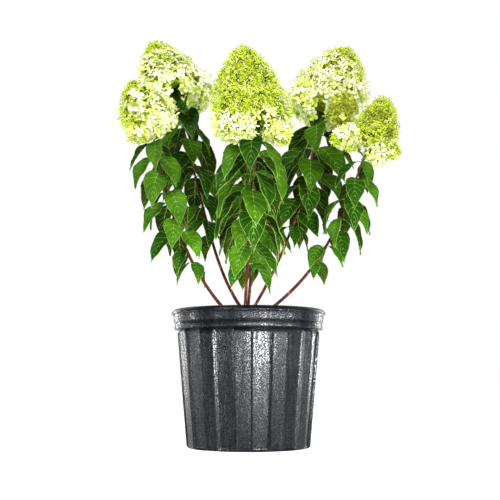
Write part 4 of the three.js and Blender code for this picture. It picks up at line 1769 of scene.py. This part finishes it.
@dataclass(frozen=True)
class Blossom:
    """The flower heads: florets and buds on stalks that branch from the stem's tip."""

    golden: float = math.radians(137.508)
    main_end: float = 0.93
    main_steps: int = 9
    main_radii: tuple[float, float] = (1.8, 0.8)
    main_sides: int = 6
    branch_scale: float = 0.55
    branch_tips: int = 60
    fewest_tips: int = 10
    usual_radius: float = 76
    branch_steps: int = 5
    branch_radii: tuple[float, float] = (1.0, 0.6)
    branch_sides: int = 4
    branch_roots: tuple[float, float, float] = (0.02, 0.9, 0.12)
    sag: float = 2.0
    core_scale: float = 0.6
    core_rows: int = 14
    core_columns: int = 20
    core_span: tuple[float, float] = (0.12, 0.9)
    core_knob: float = 0.1
    core_cap: float = 0.02
    rare_pale_from: float = 0.85
    inner_pale_from: float = 0.45
    cream_from: float = 0.34
    open_pull: float = 0.5
    usual_openness: float = 0.8
    flower_limits: tuple[float, float, float] = (0.12, 0.72, 0.05)
    bud_limits: tuple[float, float, float] = (0.4, 0.85, 0.3)
    ragged: float = 11
    ragged_to: float = 0.16
    depth_spread: tuple[float, float] = (0.1, 1.5)
    proud: float = 0.02
    open_from: float = 0.5
    open_spread: float = 0.3
    upward: float = 0.12
    sizes: tuple[float, float] = (0.75, 1.2)
    tip_shrink: float = 0.25
    eye_rise: float = 0.05
    eye_size: tuple[float, float] = (0.35, 0.08)
    bud_sizes: tuple[float, float] = (1.1, 1.7)
    bud_reach: float = 0.8
    bud_rise: float = 0.3
    buds: int = 2
    stalk: tuple[float, float] = (0.5, 0.3)
    stalk_sides: int = 3
    stalk_end: float = 0.1
    first_seed: int = 700
    seed_step: int = 13
    strips: int = 240
    skin_span: tuple[float, float] = (0.004, 0.996)

    def cuts(self, cone: Cone) -> tuple[Array, Array]:
        """Cut a cone's skin into narrow strips round it.

        Args:
            cone: The cone.

        Returns:
            Each strip's share of the way along, and its area for one radian round.
        """
        grid = np.linspace(*self.skin_span, self.strips)
        radius = cone.reach(grid, 0 * grid)
        return grid, radius * np.hypot(np.gradient(radius), cone.frame[2] * np.gradient(grid))

    def spread(self, cone: Cone, count: int) -> tuple[Array, Array]:
        """Spread places evenly over a cone's skin.

        Args:
            cone: The cone.
            count: How many places.

        Returns:
            Shares of the way along, and turns.
        """
        grid, strips = self.cuts(cone)
        weight = np.cumsum(strips)
        share = np.interp((np.arange(count) + 0.5) / count, weight / weight[-1], grid)
        return share, self.golden * np.arange(count)

    def area(self, cone: Cone) -> float:
        """Return the area of a cone's skin in square millimetres."""
        return float(2 * math.pi * self.cuts(cone)[1].sum())

    def tone(self, cone: Cone, kind: Floret, layer: Layer, openness: float, draw: float) -> Tone:
        """Choose a floret's tone.

        Args:
            cone: The cone it is on.
            kind: Its kind.
            layer: Its depth.
            openness: How open the flowers are there.
            draw: A number in [0, 1).

        Returns:
            The tone.
        """
        limits = self.bud_limits if cone.bloom is Bloom.BUDS else self.flower_limits
        bronze_to, pale_from, lime_from = limits
        # Painted shade: every petal of the deepest layer is dark.
        if layer is Layer.DEEP_SHADE:
            return Tone.DEEP_SHADE
        if cone.bloom is Bloom.BRONZE:
            return Tone.PALE if draw > self.rare_pale_from else Tone.BRONZE
        if layer is Layer.MIDDLE:
            if draw < bronze_to:
                return Tone.BRONZE
            return Tone.PALE if kind.is_broad and draw > self.inner_pale_from else Tone.LIME
        if kind.is_broad:
            level = draw + self.open_pull * (openness - self.usual_openness) + cone.paleness
            return Tone.CREAM if level > self.cream_from else Tone.PALE
        if draw > pale_from:
            return Tone.PALE
        return Tone.LIME if draw > lime_from else Tone.BRONZE

    def build(self) -> None:
        """Build every flower head."""
        for place, (name, cones) in enumerate(HEADS.items()):
            draws = Draws(self.first_seed + self.seed_step * place)
            spray = Spray()
            bud = spray.shape(bead())
            fine = spray.shape(FINE.shape)
            for cone in cones:
                tips = self.branches(STEMS[name], cone, spray.stalks)
                # A head of buds gets a core in the dark tone of painted shade.
                tone = Tone.DEEP_SHADE if cone.bloom is Bloom.BUDS else Tone.BRONZE
                spray.petals[tone].add(self.core(cone))
                broad = CUPPED if cone.bloom is Bloom.BRONZE else LONG if cone.is_long else BROAD
                kinds = ((broad, spray.shape(broad.shape), cone.petal), (FINE, fine, FINE_SIZE))
                for kind, number, size in kinds:
                    for layer in Layer:
                        self.sow(cone, kind, size, layer, (number, bud), tips, spray, draws)
            spray.pieces(name)

    def sow(
        self,
        cone: Cone,
        kind: Floret,
        size: float,
        layer: Layer,
        numbers: tuple[int, int],
        tips: Array,
        spray: Spray,
        draws: Draws,
    ) -> None:
        """Sow one kind of floret over a cone at one depth, with buds, and a stalk to the nearest branchlet.

        Args:
            cone: The cone.
            kind: The kind of floret.
            size: Its radius.
            layer: The depth.
            numbers: The spray's numbers for the floret's shape and the bud's.
            tips: The tips of the cone's branchlets.
            spray: The spray that takes them.
            draws: The head's row of numbers.
        """
        count = round(kind.density * layer.density * self.area(cone) * layer.scale**2 / size**2)
        shares, turns = self.spread(cone, count)
        sunk, power = self.depth_spread
        depth = np.array([layer.scale - sunk * draws.next() ** power + self.proud for _ in shares])
        points, facing = cone.surface(shares, turns, depth)
        for k in range(count):
            share, turn = float(shares[k]), float(turns[k])
            openness = cone.openness(share, turn) + self.open_spread * (draws.next() - 0.5)
            is_other = (openness > self.open_from) != kind.is_broad
            if cone.is_bare(share, turn, layer is Layer.DEEP_SHADE) or is_other:
                continue
            tone = self.tone(cone, kind, layer, openness, draws.next())
            front = unit(facing[k] + np.array([0, 0, self.upward]) + kind.tilt * draws.direction())
            side = unit(np.cross(front, draws.direction()))
            matrix = np.stack([side, np.cross(front, side), front], -1)
            spot = points[k].copy()
            spot[2] -= self.ragged * draws.next() * max(0.0, 1 - share / self.ragged_to)
            radius = size * draws.between(*self.sizes) * (1 - self.tip_shrink * share**2)
            spray.put(tone, numbers[0], spot, matrix, radius)
            if layer is Layer.DEEP_SHADE:
                continue
            bud_tone = Tone.PALE if tone is Tone.CREAM else tone
            if kind.is_broad:
                eye = self.eye_size[0] + self.eye_size[1] * radius
                spray.put(bud_tone, numbers[1], spot + self.eye_rise * radius * front, matrix, eye)
            else:
                for _ in range(self.buds):
                    away = spot + size * (self.bud_reach * draws.direction() + self.bud_rise * front)
                    spray.put(bud_tone, numbers[1], away, matrix, draws.between(*self.bud_sizes))
            foot = tips[np.argmin(((tips - spot) ** 2).sum(1))]
            line = np.array([foot, spot - self.stalk_end * radius * front])
            spray.stalks.add(rod(line, np.array(self.stalk), self.stalk_sides))

    def core(self, cone: Cone) -> Shape:
        """Make the dense tangle of stalks and buds in the middle of a cone, as one lumpy body.

        Args:
            cone: The cone.

        Returns:
            The body.
        """
        rows, columns = self.core_rows, self.core_columns
        first = max(self.core_span[0], cone.notch[2])
        last = self.core_span[1]
        shares = np.repeat(np.linspace(first, last, rows), columns)
        turns = np.tile(2 * math.pi * np.arange(columns) / columns, rows)
        knobs = np.sin(5 * turns + 23 * shares) * np.sin(3 * turns - 17 * shares)
        points, _ = cone.surface(shares, turns, self.core_scale * (1 + self.core_knob * knobs))
        low, along, length, _, _ = cone.frame
        grid = np.arange(rows * columns).reshape(rows, columns)
        beside = np.roll(grid, -1, axis=1)
        quads = np.stack([grid[:-1], beside[:-1], beside[1:], grid[1:]], -1).reshape(-1, 4)
        foot, head = rows * columns, rows * columns + 1
        ends = [low + share * length * along for share in (first - self.core_cap, last + self.core_cap)]
        caps = [
            np.stack([np.full(columns, foot), beside[0], grid[0]], -1),
            np.stack([np.full(columns, head), grid[-1], beside[-1]], -1),
        ]
        return Shape(np.concatenate([points, ends]), quads, np.concatenate(caps))

    def branches(self, stem: Stem, cone: Cone, stalks: Pile) -> Array:
        """Add a cone's main stalk and its branchlets.

        Args:
            stem: The stem that bears the cone.
            cone: The cone.
            stalks: The pile of stalks.

        Returns:
            The branchlets' tips.
        """
        low, along, length, _, _ = cone.frame
        path = [*branch_path(stem, cone), low + self.main_end * length * along]
        main = flowing(np.array(path), np.linspace(0, 1, self.main_steps))
        stalks.add(rod(main, np.linspace(*self.main_radii, self.main_steps), self.main_sides))
        count = max(self.fewest_tips, round(self.branch_tips * cone.radius / self.usual_radius))
        share, turn = self.spread(cone, count)
        tips, _ = cone.surface(share, turn, np.full(count, self.branch_scale))
        lowest, follow, below = self.branch_roots
        for tip, place in zip(tips, share):
            root = low + max(lowest, follow * place - below) * length * along
            bend = root + 0.5 * (tip - root) - np.array([0, 0, self.sag])
            line = flowing(np.array([root, bend, tip]), np.linspace(0, 1, self.branch_steps))
            radii = np.linspace(*self.branch_radii, self.branch_steps)
            stalks.add(rod(line, radii, self.branch_sides))
        return tips


# Studio


@dataclass(frozen=True)
class Lamp:
    """A soft box, with its place, its aim, its size, its power in watts and its spread in degrees."""

    place: tuple[float, float, float]
    aim: tuple[float, float, float]
    size: tuple[float, float]
    power: float
    spread: float = 180

    def build(self) -> None:
        """Add the soft box."""
        bpy.ops.object.light_add(type="AREA", location=self.place)
        lamp = bpy.context.object
        lamp.data.shape = "RECTANGLE"
        lamp.data.size, lamp.data.size_y = self.size
        lamp.data.energy = self.power
        lamp.data.spread = math.radians(self.spread)
        arrow = np.array(self.aim) - np.array(self.place)
        turn = math.atan2(arrow[0], -arrow[1])
        lamp.rotation_euler = (math.atan2(math.hypot(*arrow[:2]), -arrow[2]), 0, turn + math.pi)


POT_WALL = (0, 0, 0.16)
LAMPS = (
    Lamp((0.40, -1.05, 0.14), POT_WALL, (0.25, 0.26), 2.8, 50),
    Lamp((-0.08, -1.12, 0.14), POT_WALL, (0.16, 0.26), 1.2, 50),
    Lamp((0.74, -0.84, 0.08), POT_WALL, (0.14, 0.14), 0.8, 50),
    Lamp((-0.75, -0.75, 0.10), POT_WALL, (0.1, 0.2), 0.3, 50),
    Lamp((1.00, -0.55, 0.12), POT_WALL, (0.05, 0.3), 0.9, 50),
    Lamp((-1.15, -0.03, 0.12), POT_WALL, (0.05, 0.3), 0.6, 50),
    Lamp((-0.9, -1.0, 1.7), (0, 0, 0.54), (0.5, 0.5), 2.6, 45),
    Lamp((0.8, -1.3, 1.2), (0, 0, 0.62), (0.4, 0.4), 1.1, 40),
    Lamp((-0.88, 0.90, 0.30), (0, 0, 0.15), (0.06, 0.8), 8),
    Lamp((0.88, 0.90, 0.30), (0, 0, 0.15), (0.06, 0.8), 8),
)
WHITE = (1, 1, 1, 1)


@dataclass(frozen=True)
class Studio:
    """A pale floor, soft light from above and the sides, a white surround and the camera."""

    eye: tuple[float, float, float] = (0.0027, -1.64, 0.13)
    pitch: float = 7.8
    focal_pixels: float = 902
    frame_pixels: float = 500
    sensor: float = 36
    near: float = 0.02
    front: float = 0.03
    behind: float = 0.85
    fade: tuple[float, float] = (0.0, 0.5)
    floor_size: float = 60
    floor_tones: tuple[Colour, Colour] = ((0.53, 0.53, 0.53), (0.56, 0.56, 0.56))
    floor_grain: float = 3
    floor_roughness: float = 0.9
    floor_glow: float = 0.78

    def camera(self) -> None:
        """Add the camera at the plant's viewing angle."""
        bpy.ops.object.camera_add(location=self.eye, rotation=(math.radians(90 + self.pitch), 0, 0))
        camera = bpy.context.object
        camera.data.sensor_width = self.sensor
        camera.data.lens = self.sensor * self.focal_pixels / self.frame_pixels
        camera.data.clip_start = self.near
        bpy.context.scene.camera = camera

    def surroundings(self) -> None:
        """Light everything softly, more from behind than from in front, and show white behind it."""
        world = bpy.data.worlds.new("surround")
        world.use_nodes = True
        nodes = Nodes(world.node_tree)
        place = nodes.wire("ShaderNodeTexCoord", {}, {}, "Generated")
        depth = nodes.wire("ShaderNodeSeparateXYZ", {}, {0: place}, "Y")
        start, end = self.fade
        span = {"From Min": start, "From Max": end, "To Min": self.front, "To Max": self.behind}
        strength = nodes.wire("ShaderNodeMapRange", {}, {"Value": depth, **span})
        lit = nodes.wire("ShaderNodeBackground", {}, {"Color": WHITE, "Strength": strength})
        is_seen = nodes.wire("ShaderNodeLightPath", {}, {}, "Is Camera Ray")
        shown = nodes.tree.nodes["Background"]
        nodes.feed(shown, {"Color": WHITE})
        mix = nodes.wire("ShaderNodeMixShader", {}, {0: is_seen, 1: lit, 2: Wire(nodes, shown.outputs[0])})
        nodes.feed(nodes.tree.nodes["World Output"], {0: mix})
        bpy.context.scene.world = world

    def floor(self) -> None:
        """Add the floor."""
        bpy.ops.object.select_all(action="DESELECT")
        bpy.ops.mesh.primitive_plane_add(size=self.floor_size, location=(0, 0, 0))
        floor = bpy.context.object
        floor.name = "floor"
        shading = Shading("floor_paint")
        sockets = {
            "Base Color": shading.mixed(shading.noise(self.floor_grain, 2), *self.floor_tones),
            "Roughness": self.floor_roughness,
            "Emission Color": WHITE,
            "Emission Strength": self.floor_glow,
        }
        shading.feed(shading.surface, sockets)
        floor.data.materials.append(shading.material)

    def build(self) -> None:
        """Set up camera, floor and light."""
        bpy.context.scene.view_settings.view_transform = "Standard"
        self.camera()
        self.surroundings()
        self.floor()
        for lamp in LAMPS:
            lamp.build()


def main() -> None:
    """Build the studio and the plant."""
    logging.basicConfig(level=logging.INFO, format="%(message)s")
    Studio().build()
    pot = Pot()
    pot.build()
    Mix(pot).build()
    Crown().build()
    Stalks().build()
    Foliage(LeafRule()).build()
    Blossom().build()
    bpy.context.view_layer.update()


if __name__ == "__main__":
    main()
